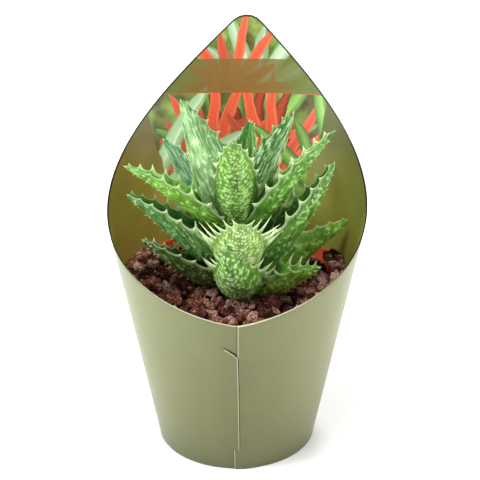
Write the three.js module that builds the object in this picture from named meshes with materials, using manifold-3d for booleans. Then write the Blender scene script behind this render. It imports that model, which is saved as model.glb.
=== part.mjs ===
// Potted aloe squarrosa in a card sleeve.
// Millimetres, +Z up, front at -Y. Origin at the centre of the pot's underside.
import * as THREE from 'three';
import { mergeVertices } from 'three/addons/utils/BufferGeometryUtils.js';
import Module from 'manifold-3d';

const wasm = await Module();
wasm.setup();

// Sleeve: a sheet of card rolled into a cone. Its top is a square corner of the flat sheet,
// so it runs from a rounded peak at the back down to a shallow V at the front seam.
const SLEEVE_BASE_R = 38;          // outer radius at the table
const SLEEVE_SLOPE = 0.193;        // growth of the radius per mm of height
const CARD = 0.7;                  // card thickness
const PEAK_SLANT = 398;            // cone apex to the peak's sharp corner, along the card
const PEAK_TURN = 4;               // degrees the peak stands to the right of straight behind
const PEAK_ROUNDING = 10;          // radius of the rounded peak
const LAP_STEP = 0.6;              // height of the overlapping flap
const LOCK_HEIGHT = 67;            // the flaps swap over at this height
const FOOT_LOCK_HEIGHT = 12;       // and back again near the table
const LOCK_SLOT = 0.4;             // width of the slots where they swap

// Pot: thin moulded plastic with a taller rim band and drain holes round a solid centre.
const POT_HEIGHT = 84;
const POT_FOOT_R = 37;
const POT_RIM_R = 52.8;
const POT_BODY_TOP = 73;           // underside of the rim band
const POT_BODY_TOP_R = 48.3;
const POT_WALL = 1.1;
const POT_FACETS = 44;
const DRAIN_HOLES = 8;
const DRAIN_HOLE_R = 3.5;
const DRAIN_CIRCLE_R = 27;

// Filling: potting mix, a layer of lava grit on it, and the stem through both.
const SOIL_TOP = 72;
const GRIT_TOP = 78.6;
const STONES = 58;
const STEM_R = 5;
const STEM_FOOT = 60;
const STEM_TOP = 121.5;
const GAP = 0.3;                   // clearance between neighbouring pieces

// Leaves, lowest first: compass angle from the front (towards +X), height above LEAF_DATUM,
// length, width, depth of the belly, rise at the root, further rise by the tip, sideways
// swing, roll about its own line, teeth on each margin, height of the longest tooth, power of
// the taper from the widest place to the tip (a higher one is blunter), degrees a tooth turns up
// out of the blade, power of the belly's curve (a higher one has a flatter bottom), and what the
// roll gains by the tip.
const LEAF_DATUM = 80;
const LEAVES = [
  [6, 1, 48, 27, 7.0, 16, 56, -36, -14, 7, 6.2, 1.3, 34, 3.0, 30],
  [54, 0, 46, 17, 8.0, 20, 12, 0, 0, 6, 5.6, 1.45, 52, 2.4, 0],
  [-65, 1, 51, 16, 6.0, 28, 14, 0, 0, 6, 3.8, 1.45, 52, 2.4, 0],
  [106, 4, 54, 22, 9.0, 18, 10, 0, -38, 6, 2.6, 1.45, 52, 2.4, 0],
  [-150, 5, 48, 18, 6.5, 22, 14, 0, 0, 5, 3.6, 1.45, 52, 2.4, 0],
  [168, 3, 46, 18, 6.5, 20, 14, 0, 0, 5, 3.6, 1.45, 52, 2.4, 0],
  [-78, 9, 60, 22, 7.0, 45, -8, 0, 0, 7, 5.0, 1.45, 52, 2.4, 0],
  [86, 9, 66, 22, 7.0, 39, 28, 0, 0, 7, 5.0, 1.45, 52, 2.4, 0],
  [3, 14, 47, 25, 9.0, 18, 52, 0, 0, 8, 8.4, 2.6, 42, 2.4, 0],
  [140, 14, 56, 19, 7.0, 30, 14, 0, 0, 5, 4.2, 1.45, 52, 2.4, 0],
  [-162, 18, 54, 19, 7.0, 34, 14, 0, 0, 5, 4.2, 1.45, 52, 2.4, 0],
  [-76, 28, 58, 17, 5.0, 44, -14, 0, 0, 7, 5.0, 1.45, 52, 2.4, 0],
  [78, 28, 64, 16, 5.0, 54, -4, 0, 0, 7, 4.8, 1.45, 52, 2.4, 0],
  [-134, 26, 55, 19, 6.5, 33, 8, 0, -15, 6, 4.2, 1.45, 52, 2.4, 0],
  [-4, 31, 50, 20, 7.0, 88, -36, 0, 0, 6, 2.8, 1.8, 40, 2.4, 0],
  [168, 28, 50, 17, 6.5, 48, 10, 0, 0, 5, 3.6, 1.45, 52, 2.4, 0],
  [-114, 34, 57, 25, 6.5, 63, 6, 0, -30, 7, 4.2, 1.45, 52, 2.4, 0],
  [129, 36, 51, 19, 7.0, 49, 8, 0, 0, 6, 4.0, 1.45, 52, 2.4, 0],
  [160, 40, 38, 14, 5.0, 62, 6, 0, 0, 5, 3.0, 1.45, 52, 2.4, 0],
  [50, 42, 26, 9, 4.0, 76, 6, 0, 0, 3, 2.0, 1.45, 52, 2.4, 0],
  [-70, 43, 24, 8, 3.6, 80, 6, 0, 0, 3, 2.0, 1.45, 52, 2.4, 0],
];
const TOOTH_LEAN = 0.55;           // how far a tooth leans towards the leaf's tip

const rad = (degrees) => degrees * Math.PI / 180;
const clamp = (v, low, high) => Math.min(high, Math.max(low, v));
const mix = (a, b, t) => a + (b - a) * t;

// A repeatable draw between 0 and 1.
function chance(a, b) {
  const v = Math.sin(a * 12.9898 + b * 78.233) * 43758.5453;
  return v - Math.floor(v);
}

// Solids

function solid(points, triangles) {
  const geometry = new THREE.BufferGeometry();
  geometry.setAttribute('position', new THREE.Float32BufferAttribute(points.flat(), 3));
  geometry.setIndex(triangles.flat());
  const merged = mergeVertices(geometry, 1e-5);
  return new wasm.Manifold(new wasm.Mesh({
    numProp: 3,
    vertProperties: new Float32Array(merged.attributes.position.array),
    triVerts: new Uint32Array(merged.index.array),
  }));
}

// Rings of equal, even length joined in order. Each end is closed by a strip that zigzags
// from the ring's first point to the opposite one. Rings run anticlockwise when seen from
// the last one looking back at the first.
function loft(rings) {
  const count = rings[0].length;
  const points = rings.flat();
  const triangles = [];
  for (let i = 0; i + 1 < rings.length; i += 1) {
    for (let j = 0; j < count; j += 1) {
      const a = i * count + j;
      const b = i * count + (j + 1) % count;
      triangles.push([a, b, b + count], [a, b + count, a + count]);
    }
  }
  const last = (rings.length - 1) * count;
  const cap = [[0, 1, count - 1]];
  for (let a = 1; a < count / 2; a += 1) {
    const [b, c, d] = [a + 1, count - a - 1, count - a];
    cap.push(...(b === c ? [[a, b, d]] : [[a, b, c], [a, c, d]]));
  }
  for (const [a, b, c] of cap) triangles.push([a, c, b], [last + a, last + b, last + c]);
  return solid(points, triangles);
}

// A closed outline of [radius, height] turned about the axis. The outline runs anticlockwise
// with radius to the right and height up, and may touch the axis.
function turn(outline, segments) {
  const points = [];
  const start = [];
  for (const [r, z] of outline) {
    start.push(points.length);
    const steps = r > 0 ? segments : 1;
    for (let j = 0; j < steps; j += 1) {
      const a = 2 * Math.PI * j / segments;
      points.push([r * Math.sin(a), -r * Math.cos(a), z]);
    }
  }
  const triangles = [];
  outline.forEach(([ra], i) => {
    const k = (i + 1) % outline.length;
    const rb = outline[k][0];
    if (ra <= 0 && rb <= 0) return;
    for (let j = 0; j < segments; j += 1) {
      const next = (j + 1) % segments;
      const a = start[i] + (ra > 0 ? j : 0);
      const aNext = start[i] + (ra > 0 ? next : 0);
      const b = start[k] + (rb > 0 ? j : 0);
      const bNext = start[k] + (rb > 0 ? next : 0);
      if (ra > 0) triangles.push([a, aNext, rb > 0 ? bNext : b]);
      if (rb > 0) triangles.push([a, bNext, b]);
    }
  });
  return solid(points, triangles);
}

// The largest connected piece of a solid.
function mainPiece(body) {
  const pieces = body.decompose();
  return pieces.reduce((best, piece) => (piece.volume() > best.volume() ? piece : best));
}

function boxesMeet(a, b) {
  const p = a.boundingBox();
  const q = b.boundingBox();
  return [0, 1, 2].every((i) => p.min[i] < q.max[i] && q.min[i] < p.max[i]);
}

function cut(body, tools) {
  let result = body;
  for (const tool of tools) {
    if (boxesMeet(result, tool) && result.intersect(tool).volume() > 0.002) result = result.subtract(tool);
  }
  return result;
}

// Sleeve

const HALF_ANGLE_SIN = Math.sin(Math.atan(SLEEVE_SLOPE));

// Height of the sleeve's edge at an angle from the front. On the flat sheet the two edges
// meet at a right angle at the peak, and each is a straight line. The peak stands a little to
// the right of the middle, so each side's angles are spread or narrowed to fit.
function sleeveEdge(angle) {
  const peak = Math.PI - rad(PEAK_TURN);
  const from = angle > peak ? angle - 2 * Math.PI : angle;
  const share = from > 0 ? from / peak : -from / (2 * Math.PI - peak);
  const turned = Math.PI * (1 - share) * HALF_ANGLE_SIN;
  let slant = PEAK_SLANT / (Math.cos(turned) + Math.sin(turned));
  const centre = PEAK_SLANT - PEAK_ROUNDING * Math.SQRT2;
  const across = centre * Math.sin(turned);
  if (across < PEAK_ROUNDING * Math.SQRT1_2 * 0.985) {
    slant = centre * Math.cos(turned) + Math.sqrt(PEAK_ROUNDING ** 2 - across ** 2);
  }
  return (slant * HALF_ANGLE_SIN - SLEEVE_BASE_R) / SLEEVE_SLOPE;
}

function sleevePoint(angle, z, depth) {
  const r = SLEEVE_BASE_R + SLEEVE_SLOPE * z - depth;
  return [r * Math.sin(angle), -r * Math.cos(angle), z];
}

// Part of the card between two angles and two heights, lifted from the cone. It starts with
// a sharp step at one side and sinks back into the card at the other.
function flap(from, to, low, topAt) {
  const rings = [];
  const steps = 4;
  for (let i = 0; i <= steps; i += 1) {
    const t = i / steps;
    const angle = rad(mix(from, to, t));
    const lift = LAP_STEP * (t < 0.5 ? 1 : 1 - 2.4 * (t - 0.5));
    const ring = [
      sleevePoint(angle, low, CARD / 2), sleevePoint(angle, low, -lift),
      sleevePoint(angle, topAt(angle), -lift), sleevePoint(angle, topAt(angle), CARD / 2),
    ];
    rings.push(to > from ? ring.reverse() : ring);
  }
  return loft(rings);
}

function makeSleeve() {
  const angles = [];
  for (let a = -180; a < 180;) {
    angles.push(a);
    const fromPeak = 180 - Math.abs(a);
    a += fromPeak < 7.9 ? 1.6 : (fromPeak < 8.1 ? 2 : 5);
    if (Math.abs(Math.abs(a) - 172) < 1.01) a = 172 * Math.sign(a);
  }
  const outer = [];
  for (const degrees of angles) {
    const a = rad(degrees);
    const top = sleeveEdge(a);
    outer.push([
      sleevePoint(a, 0, 0), sleevePoint(a, top, 0),
      sleevePoint(a, top, CARD), sleevePoint(a, 0, CARD),
    ]);
  }
  const points = outer.flat();
  const triangles = [];
  outer.forEach((_, i) => {
    const k = (i + 1) % outer.length;
    for (let j = 0; j < 4; j += 1) {
      const a = i * 4 + j;
      const b = i * 4 + (j + 1) % 4;
      const c = k * 4 + (j + 1) % 4;
      const d = k * 4 + j;
      triangles.push([a, d, c], [a, c, b]);
    }
  });
  return solid(points, triangles)
    .add(flap(0.2, 20, LOCK_HEIGHT + LOCK_SLOT, (angle) => sleeveEdge(angle) - LOCK_SLOT))
    .add(flap(-0.2, -20, FOOT_LOCK_HEIGHT + LOCK_SLOT, () => LOCK_HEIGHT))
    .add(flap(-3, 17, LOCK_SLOT, () => FOOT_LOCK_HEIGHT));
}

// Pot

function makePot() {
  const wallAt = (z) => mix(POT_FOOT_R, POT_BODY_TOP_R, z / POT_BODY_TOP);
  let pot = turn([
    [0, 0], [POT_FOOT_R - 0.6, 0], [wallAt(0.8), 0.8], [POT_BODY_TOP_R, POT_BODY_TOP],
    [POT_RIM_R - 1.6, POT_BODY_TOP + 0.8], [POT_RIM_R, POT_HEIGHT - 0.5],
    [POT_RIM_R - 0.3, POT_HEIGHT], [POT_RIM_R - 1.2, POT_HEIGHT], [POT_RIM_R - 2.8, POT_BODY_TOP + 2],
    [POT_BODY_TOP_R - POT_WALL, POT_BODY_TOP + 0.6], [wallAt(1.5) - POT_WALL, 1.5], [0, 1.5],
  ], POT_FACETS);
  for (let i = 0; i < DRAIN_HOLES; i += 1) {
    const a = 2 * Math.PI * (i + 0.5) / DRAIN_HOLES;
    const rings = [-1, 3].map((z) => Array.from({ length: 8 }, (_, j) => {
      const b = 2 * Math.PI * j / 8;
      return [
        DRAIN_CIRCLE_R * Math.sin(a) + DRAIN_HOLE_R * Math.cos(b),
        -DRAIN_CIRCLE_R * Math.cos(a) + DRAIN_HOLE_R * Math.sin(b), z,
      ];
    }));
    pot = pot.subtract(loft(rings));
  }
  return pot;
}

// Filling

function potInside(z) {
  return mix(POT_FOOT_R, POT_BODY_TOP_R, z / POT_BODY_TOP) - POT_WALL - GAP;
}

function makeSoil() {
  const hole = STEM_R + GAP;
  return turn([
    [0, 1.8], [potInside(1.8), 1.8], [potInside(SOIL_TOP), SOIL_TOP], [hole, SOIL_TOP],
    [hole, STEM_FOOT - GAP], [0, STEM_FOOT - GAP],
  ], POT_FACETS);
}

function makeStem(grow) {
  return turn([
    [0, STEM_FOOT - grow], [STEM_R - 0.6 + grow, STEM_FOOT - grow],
    [STEM_R + grow, STEM_FOOT + 1], [STEM_R + grow, 100],
    [STEM_R - 1 + grow, STEM_TOP - 1], [STEM_R - 2.5 + grow, STEM_TOP + grow],
    [0, STEM_TOP + 0.6 + grow],
  ], 14);
}

// The grit lies a little higher against the left of the rim.
function gritHeight(x, y) {
  const r = Math.hypot(x, y);
  const angle = Math.atan2(x, -y);
  const side = Math.exp(-(((angle - rad(-105)) / rad(34)) ** 2));
  return GRIT_TOP + 6.5 * side * clamp((r - 24) / 20, 0, 1) - 1.2 * clamp((r - 30) / 20, 0, 1);
}

// One lump of lava: an icosahedron with its corners drawn in and out.
function makeStone(index) {
  const draw = (n) => chance(index + 1, n);
  const share = (index + 0.5) / STONES;
  const r = Math.sqrt(mix(8.5 ** 2, 48 ** 2, share)) + 2.4 * (draw(1) - 0.5);
  const a = index * 2.399963 + 0.25 * (draw(2) - 0.5);
  const x = r * Math.sin(a);
  const y = -r * Math.cos(a);
  const size = mix(3.7, 5.9, draw(3));
  const z = gritHeight(x, y) - size * mix(0.35, 0.6, draw(4));
  const turned = new THREE.Matrix4().makeRotationFromEuler(
    new THREE.Euler(6.28 * draw(5), 6.28 * draw(6), 6.28 * draw(7)));
  const scale = [mix(0.85, 1.2, draw(8)), mix(0.85, 1.2, draw(9)), mix(0.8, 1.0, draw(10))];
  const shape = new THREE.IcosahedronGeometry(1, 0);
  shape.deleteAttribute('normal');
  shape.deleteAttribute('uv');
  const merged = mergeVertices(shape, 1e-4);
  const corners = merged.attributes.position;
  const points = [];
  for (let i = 0; i < corners.count; i += 1) {
    const v = new THREE.Vector3().fromBufferAttribute(corners, i);
    v.multiplyScalar(size * mix(0.82, 1.14, draw(20 + i))).applyMatrix4(turned);
    points.push([x + v.x * scale[0], y + v.y * scale[1], z + v.z * scale[2]]);
  }
  const index3 = Array.from(merged.index.array);
  const triangles = [];
  for (let i = 0; i < index3.length; i += 3) triangles.push(index3.slice(i, i + 3));
  return solid(points, triangles);
}

function makeGrit(tools) {
  const floor = SOIL_TOP + GAP;
  const rimInside = POT_RIM_R - 1.4 - GAP;
  const room = turn([
    [0, floor], [potInside(floor) - 0.1, floor], [POT_BODY_TOP_R - POT_WALL - GAP, POT_BODY_TOP + 0.8],
    [POT_RIM_R - 2.8 - GAP, POT_BODY_TOP + 2.3], [rimInside, POT_HEIGHT],
    [rimInside, POT_HEIGHT + 10], [0, POT_HEIGHT + 10],
  ], POT_FACETS);
  let grit = turn([
    [0, floor - 1], [POT_RIM_R, floor - 1], [POT_RIM_R, GRIT_TOP - 1.8], [0, GRIT_TOP - 2.6],
  ], 16);
  for (let i = 0; i < STONES; i += 1) grit = grit.add(makeStone(i));
  return mainPiece(cut(grit.intersect(room), tools));
}

// Leaves

// Width and belly along a leaf, as a share of the largest: narrow at the root,
// full a quarter of the way out, then tapering to a small blunt tip.
function shareAlong(u, root, tip, power) {
  if (u < 0.28) return mix(root, 1, Math.sin(Math.PI / 2 * clamp(u / 0.28, 0, 1)));
  return 1 - (1 - tip) * ((u - 0.28) / 0.72) ** power;
}

// Where the leaf runs at a share of its length, with its frame: along, across and up.
function leafPath(leaf) {
  const [angle, height, length, , , rise, curl, swing, roll, , , , , , twist] = leaf;
  const steps = 60;
  const root = STEM_R * clamp((STEM_TOP - LEAF_DATUM - height) / 8, 0.25, 1);
  const at = new THREE.Vector3(
    Math.sin(rad(angle)) * root, -Math.cos(rad(angle)) * root, LEAF_DATUM + height);
  const heading = (u) => {
    const e = rad(rise + curl * u);
    const a = rad(angle + swing * u);
    return new THREE.Vector3(Math.sin(a) * Math.cos(e), -Math.cos(a) * Math.cos(e), Math.sin(e));
  };
  const stops = [at.clone()];
  for (let i = 0; i < steps; i += 1) {
    at.addScaledVector(heading((i + 0.5) / steps), length / steps);
    stops.push(at.clone());
  }
  return (u) => {
    const k = clamp(Math.floor(u * steps), 0, steps - 1);
    const place = stops[k].clone().lerp(stops[k + 1], u * steps - k);
    const along = heading(u);
    const a = rad(angle + swing * u);
    const across = new THREE.Vector3(Math.cos(a), Math.sin(a), 0)
      .applyAxisAngle(along, rad(roll + twist * u));
    return { place, along, across, up: along.clone().cross(across) };
  };
}

// Places and heights of the teeth on one margin; the two margins alternate.
function toothRow(leaf, number, side) {
  const [, , , , , , , , , teeth, tall, taper] = leaf;
  return Array.from({ length: teeth }, (_, k) => {
    const q = (k + 0.5 * side + 0.18 * (chance(k + 1, number + 40 * side) - 0.5)) / (teeth - 0.5);
    const u = Math.min(0.985, 0.15 + 0.82 * q * (1.28 - 0.28 * q));
    const drawn = 0.85 + 0.3 * chance(k + 9, number + 20 * side);
    const size = (0.35 + 0.65 * clamp((1 - u) * 1.3 * taper, 0, 1)) * drawn;
    return { u, tall: tall * size * clamp(0.55 + (u - 0.1) * 2.5, 0, 1) };
  });
}

// Height of the margin at u: a cusp at each tooth with a round bay between.
function marginRise(row, u) {
  const stops = [{ u: row[0].u - 0.13, tall: 0 }, ...row, { u: 1.02, tall: 0 }];
  let j = 0;
  while (j < stops.length - 2 && u >= stops[j + 1].u) j += 1;
  const t = clamp((u - stops[j].u) / (stops[j + 1].u - stops[j].u), 0, 1);
  return stops[j].tall * Math.max(0, 1 - 2 * t) ** 3.6 + stops[j + 1].tall * Math.max(0, 2 * t - 1) ** 3.6;
}

// Corners of the crescent section: share of the half width, and 1 on the hollow upper face
// or -1 on the round belly.
const SECTION = [[1, 1], [0.8, 1], [0, 1], [-0.8, 1], [-1, 1], [-0.62, -1], [0, -1], [0.62, -1]];

// A point of the leaf's skin: share of the length, corner of the section, height of the
// tooth there, growth of the whole skin, and shift along the leaf.
function leafPoint(leaf, path, u, [s, face], rise, grow, shift) {
  const [, , , width, belly, , , , , , , taper, turn, full] = leaf;
  const { place, along, across, up } = path(u);
  const wide = shareAlong(u, 0.62, 0.07, taper);
  const deep = belly * shareAlong(u, 0.45, 0.12, 1.2);
  const hollow = 0.27 * width * wide ** 0.9 * (0.75 + 0.25 * clamp(u / 0.3, 0, 1));
  const tooth = rise * Math.abs(s) ** 12;
  const x = width / 2 * wide * s + Math.sign(s) * (tooth * Math.cos(rad(turn)) + grow);
  let y = hollow * Math.abs(s) ** 1.8 + tooth * Math.sin(rad(turn)) + grow * face;
  if (face < 0) y -= deep * (1 - Math.abs(s) ** full) ** 0.7;
  return place.clone().addScaledVector(across, x).addScaledVector(up, y)
    .addScaledVector(along, TOOTH_LEAN * tooth + shift).toArray();
}

function makeLeaf(leaf, rows, grow) {
  const path = leafPath(leaf);
  const tips = rows.flat().map((tooth) => tooth.u).sort((a, b) => a - b);
  const stations = [0, 0.08];
  if (grow === 0) {
    tips.forEach((u, i) => {
      if (i > 0) stations.push((tips[i - 1] + u) / 2);
      stations.push(u);
    });
  } else {
    for (let i = 1; i < 9; i += 1) stations.push(mix(0.08, 1, i / 9));
  }
  stations.push(1);
  const rings = stations.map((u, i) => {
    const shift = i === 0 ? -grow : (i === stations.length - 1 ? grow : 0);
    return SECTION.map((corner) => {
      const rise = grow > 0 ? 0 : marginRise(rows[corner[0] > 0 ? 0 : 1], u);
      return leafPoint(leaf, path, u, corner, rise, grow, shift);
    });
  });
  return loft(rings);
}

// Keeps the teeth that have air round them; one that would press into a neighbour is left out.
function clearTeeth(leaf, rows, neighbours) {
  const path = leafPath(leaf);
  return rows.map((row, side) => row.map((tooth) => {
    const s = side === 0 ? 1 : -1;
    const points = [
      leafPoint(leaf, path, tooth.u, [s, 1], tooth.tall, GAP, 0),
      leafPoint(leaf, path, tooth.u - 0.03, [s, 1], 0, GAP, 0),
      leafPoint(leaf, path, tooth.u + 0.03, [s, 1], 0, GAP, 0),
      leafPoint(leaf, path, tooth.u, [0.8 * s, 1], 0, 0, 0),
    ];
    const turned = [[0, 1, 2], [0, 2, 3], [0, 3, 1], [1, 3, 2]];
    const spike = solid(points, turned.map(([a, b, c]) => (s > 0 ? [a, b, c] : [a, c, b])));
    const blocked = neighbours.some((other) => boxesMeet(spike, other)
      && Math.abs(spike.intersect(other).volume()) > 0.001);
    return blocked ? { ...tooth, tall: 0 } : tooth;
  }));
}

// Assembly

const COLOURS = {
  sleeve: 0xa3ab7c, pot: 0xc4532c, soil: 0x33221a, grit: 0x6e3a31, stem: 0x6f7d3c, leaf: 0x5f9a3a,
};

const group = new THREE.Group();
group.name = 'potted_aloe';

function addNode(name, body, colour) {
  const { vertProperties, triVerts } = body.getMesh();
  const geometry = new THREE.BufferGeometry();
  geometry.setAttribute('position', new THREE.Float32BufferAttribute(vertProperties, 3));
  geometry.setIndex(Array.from(triVerts));
  geometry.computeVertexNormals();
  const mesh = new THREE.Mesh(geometry, new THREE.MeshStandardMaterial({ color: colour, roughness: 0.6 }));
  mesh.name = name;
  group.add(mesh);
}

const stemRoom = makeStem(GAP);
const allRows = LEAVES.map((leaf, i) => [toothRow(leaf, i + 1, 0), toothRow(leaf, i + 1, 1)]);
const blades = LEAVES.map((leaf, i) => makeLeaf(leaf, allRows[i], GAP));
const finished = [];
LEAVES.forEach((leaf, i) => {
  const others = [...blades.filter((_, k) => k !== i), ...finished];
  const rows = clearTeeth(leaf, allRows[i], others);
  const body = mainPiece(cut(makeLeaf(leaf, rows, 0), [stemRoom, ...blades.slice(0, i), ...finished]));
  finished.push(body);
  const shade = new THREE.Color(COLOURS.leaf).offsetHSL(0, 0, 0.06 * (chance(i, 3) - 0.5));
  addNode(`leaf_${String(i + 1).padStart(2, '0')}`, body, shade);
});
addNode('stem', makeStem(0), COLOURS.stem);
addNode('grit', makeGrit([stemRoom, ...blades, ...finished]), COLOURS.grit);
addNode('soil', makeSoil(), COLOURS.soil);
addNode('pot', makePot(), COLOURS.pot);
addNode('sleeve', makeSleeve(), COLOURS.sleeve);

export default group;
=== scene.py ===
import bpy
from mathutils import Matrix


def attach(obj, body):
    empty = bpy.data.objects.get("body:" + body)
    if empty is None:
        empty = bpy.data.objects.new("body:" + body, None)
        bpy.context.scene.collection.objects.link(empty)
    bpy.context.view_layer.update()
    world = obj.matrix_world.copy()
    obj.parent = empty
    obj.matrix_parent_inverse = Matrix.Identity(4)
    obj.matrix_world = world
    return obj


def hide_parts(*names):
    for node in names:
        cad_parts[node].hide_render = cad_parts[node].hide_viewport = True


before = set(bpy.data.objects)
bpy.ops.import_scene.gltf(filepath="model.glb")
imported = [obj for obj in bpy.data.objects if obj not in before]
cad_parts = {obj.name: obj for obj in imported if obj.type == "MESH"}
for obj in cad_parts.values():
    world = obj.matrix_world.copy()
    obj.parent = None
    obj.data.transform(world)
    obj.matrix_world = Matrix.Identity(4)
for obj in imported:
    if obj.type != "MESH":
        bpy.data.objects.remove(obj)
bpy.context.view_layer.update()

# Potted aloe squarrosa in a card sleeve: the looks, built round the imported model.
# Formulas are in millimetres and meshes in metres. +Z up, front at -Y.
import math
from collections import namedtuple

import bpy
import numpy as np
from mathutils import Vector

# Sleeve: a sheet of card rolled into a cone, with its seam at the front and its peak at the back
SLEEVE_BASE_R = 38.0
SLEEVE_SLOPE = 0.193
CARD = 0.7
PEAK_SLANT = 398.0
PEAK_TURN = math.radians(4.0)  # the peak stands this far to the right of straight behind
PEAK_ROUNDING = 10.0
LAP_STEP = 0.6
LAP_FADE = 20.0  # degrees over which the upper flap sinks back to the cone
LOCK_HEIGHT = 67.0  # the flaps swap over here
LOCK_SLIT = -6.3  # angle where the slit in the left flap ends
LOCK_RISE = 5.0  # climb of the slit from the seam to its end
FOOT_LOCK_HEIGHT = 12.0  # the flaps swap back here
FOOT_SEAM = -3.4  # angle of the seam below that, from where it would have run
NICK_HEIGHT = 48.3  # a small nick in the upper flap's edge
SEAM_TOP = 0.6  # angle of the seam down to the lock
SEAM_FOOT = 2.1  # angle of the seam near the table; it leans between the two

# Pot
POT_HEIGHT = 84.0
POT_FOOT_R = 37.0
POT_RIM_R = 52.8
POT_BODY_TOP = 73.0
POT_BODY_TOP_R = 48.3
POT_WALL = 1.1
POT_FLOOR = 1.5
DRAIN_HOLES = 8
DRAIN_HOLE_R = 3.5
DRAIN_CIRCLE_R = 27.0

# Grit and stem. Stones lie on the pot's rim in arcs: their number, the angles from which and up to
# which they run, and how far further out they lie than the others.
SOIL_TOP = 72.0
GRIT_TOP = 78.6
GRIT_EDGE = POT_RIM_R - 2.2
LARGE_STONES = 58
RIM_STONES = ((34, -128.0, -64.0, 0.0), (32, 50.0, 112.0, 0.0), (6, -11.9, 8.5, 1.6))
GOLDEN_ANGLE = 2.399963  # in radians
STEM_R = 5.0
STEM_FOOT = 60.0
STEM_TOP = 121.5
RING_PITCH = 5.0  # a leaf grew every so many mm up the stem

# Leaves
LEAF_DATUM = 80.0
TOOTH_LEAN = 0.55
TOOTH_EDGE = 26  # power that keeps a tooth close to the margin
WIDEST = 0.28  # share of the length where a leaf is widest
TIP_START = 0.985  # share of the length where the tip closes

# Freckles of a leaf: spacing across and along in mm, size as a share of the spacing, share of
# places that hold one, how far they stand up in mm, how many reach the hollow upper face, how
# strongly the finer flecks and streaks show, and how white all of them are
Freckles = namedtuple("Freckles", "across along size cover rise upper flecks white")
PEBBLED = Freckles(1.6, 2.7, 0.40, 0.93, 0.30, 0.2, 0.15, 0.6)
BEADED = Freckles(1.1, 1.7, 0.38, 0.95, 0.22, 0.3, 0.15, 0.6)
NETTED = Freckles(1.5, 1.9, 0.39, 0.96, 0.16, 0.5, 0.1, 0.4)
DASHED = Freckles(1.7, 3.0, 0.34, 0.6, 0.14, 0.15, 0.85, 0.42)
STREAKED = Freckles(1.1, 5.0, 0.40, 0.5, 0.06, 1.0, 1.0, 0.9)
SPARSE = Freckles(2.2, 4.6, 0.30, 0.35, 0.10, 0.3, 0.9, 0.9)

# Greens of a leaf: its belly, its channel and its root, whose darkened green is painted shade at the
# leaf's base
Greens = namedtuple("Greens", "belly channel root")
BRIGHT = Greens("#7bb53c", "#5c9a2c", "#679a33")
FRESH = Greens("#69a33a", "#478728", "#426b22")
DEEP = Greens("#588f40", "#3f7a2b", "#42692d")
SHADED = Greens("#436d2b", "#355a23", "#2b451b")
YELLOWISH = Greens("#7ea24c", "#6f9c3a", "#4c6a28")
MOSSY = Greens("#5b9030", "#458126", "#4a7628")
SUNLIT = Greens("#8cc846", "#73b636", "#7fb842")
LEAFY = Greens("#64a02c", "#4f8f22", "#5c8f2a")
LIMY = Greens("#6d9a3a", "#568a30", "#5a8034")
MINTY = Greens("#7cb55c", "#92c47c", "#5f9440")
BLUISH = Greens("#66a566", "#5f9f66", "#4c7c3e")

# A leaf's angle is its compass angle from the front, and height is how far it springs above
# LEAF_DATUM. It climbs at rise degrees and gains curl by its tip, where its angle has gained swing
# and its roll has gained twist. taper is the power of the curve from the widest place to the tip: a
# higher one is blunter. turn is how many degrees a tooth turns up out of the blade, and full is the
# power of the belly's curve: a higher one has a flatter bottom.
Leaf = namedtuple("Leaf", "angle height length width belly rise curl teeth tooth freckles greens "
                  "swing roll taper turn full twist", defaults=(0, 0, 1.45, 52, 2.4, 0))
LEAVES = [
    Leaf(6, 1, 48, 27, 7.0, 16, 56, 7, 6.2, PEBBLED, FRESH,
         swing=-36, roll=-14, taper=1.3, turn=34, full=3.0, twist=30),
    Leaf(54, 0, 46, 17, 8.0, 20, 12, 6, 5.6, DASHED, BRIGHT),
    Leaf(-65, 1, 51, 16, 6.0, 28, 14, 6, 3.8, DASHED, SHADED),
    Leaf(106, 4, 54, 22, 9.0, 18, 10, 6, 2.6, DASHED, SUNLIT, roll=-38),
    Leaf(-150, 5, 48, 18, 6.5, 22, 14, 5, 3.6, DASHED, DEEP),
    Leaf(168, 3, 46, 18, 6.5, 20, 14, 5, 3.6, DASHED, DEEP),
    Leaf(-78, 9, 60, 22, 7.0, 45, -8, 7, 5.0, DASHED, DEEP),
    Leaf(86, 9, 66, 22, 7.0, 39, 28, 7, 5.0, DASHED, MOSSY),
    Leaf(3, 14, 47, 25, 9.0, 18, 52, 8, 8.4, BEADED, YELLOWISH, taper=2.6, turn=42),
    Leaf(140, 14, 56, 19, 7.0, 30, 14, 5, 4.2, DASHED, FRESH),
    Leaf(-162, 18, 54, 19, 7.0, 34, 14, 5, 4.2, DASHED, FRESH),
    Leaf(-76, 28, 58, 17, 5.0, 44, -14, 7, 5.0, DASHED, BRIGHT),
    Leaf(78, 28, 64, 16, 5.0, 54, -4, 7, 4.8, DASHED, LEAFY),
    Leaf(-134, 26, 55, 19, 6.5, 33, 8, 6, 4.2, SPARSE, BLUISH, roll=-15),
    Leaf(-4, 31, 50, 20, 7.0, 88, -36, 6, 2.8, NETTED, LIMY, taper=1.8, turn=40),
    Leaf(168, 28, 50, 17, 6.5, 48, 10, 5, 3.6, DASHED, FRESH),
    Leaf(-114, 34, 57, 25, 6.5, 63, 6, 7, 4.2, STREAKED, MINTY, roll=-30),
    Leaf(129, 36, 51, 19, 7.0, 49, 8, 6, 4.0, STREAKED, FRESH),
    Leaf(160, 40, 38, 14, 5.0, 62, 6, 5, 3.0, DASHED, FRESH),
    Leaf(50, 42, 26, 9, 4.0, 76, 6, 3, 2.0, DASHED, BRIGHT),
    Leaf(-70, 43, 24, 8, 3.6, 80, 6, 3, 2.0, DASHED, BRIGHT),
]

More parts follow.
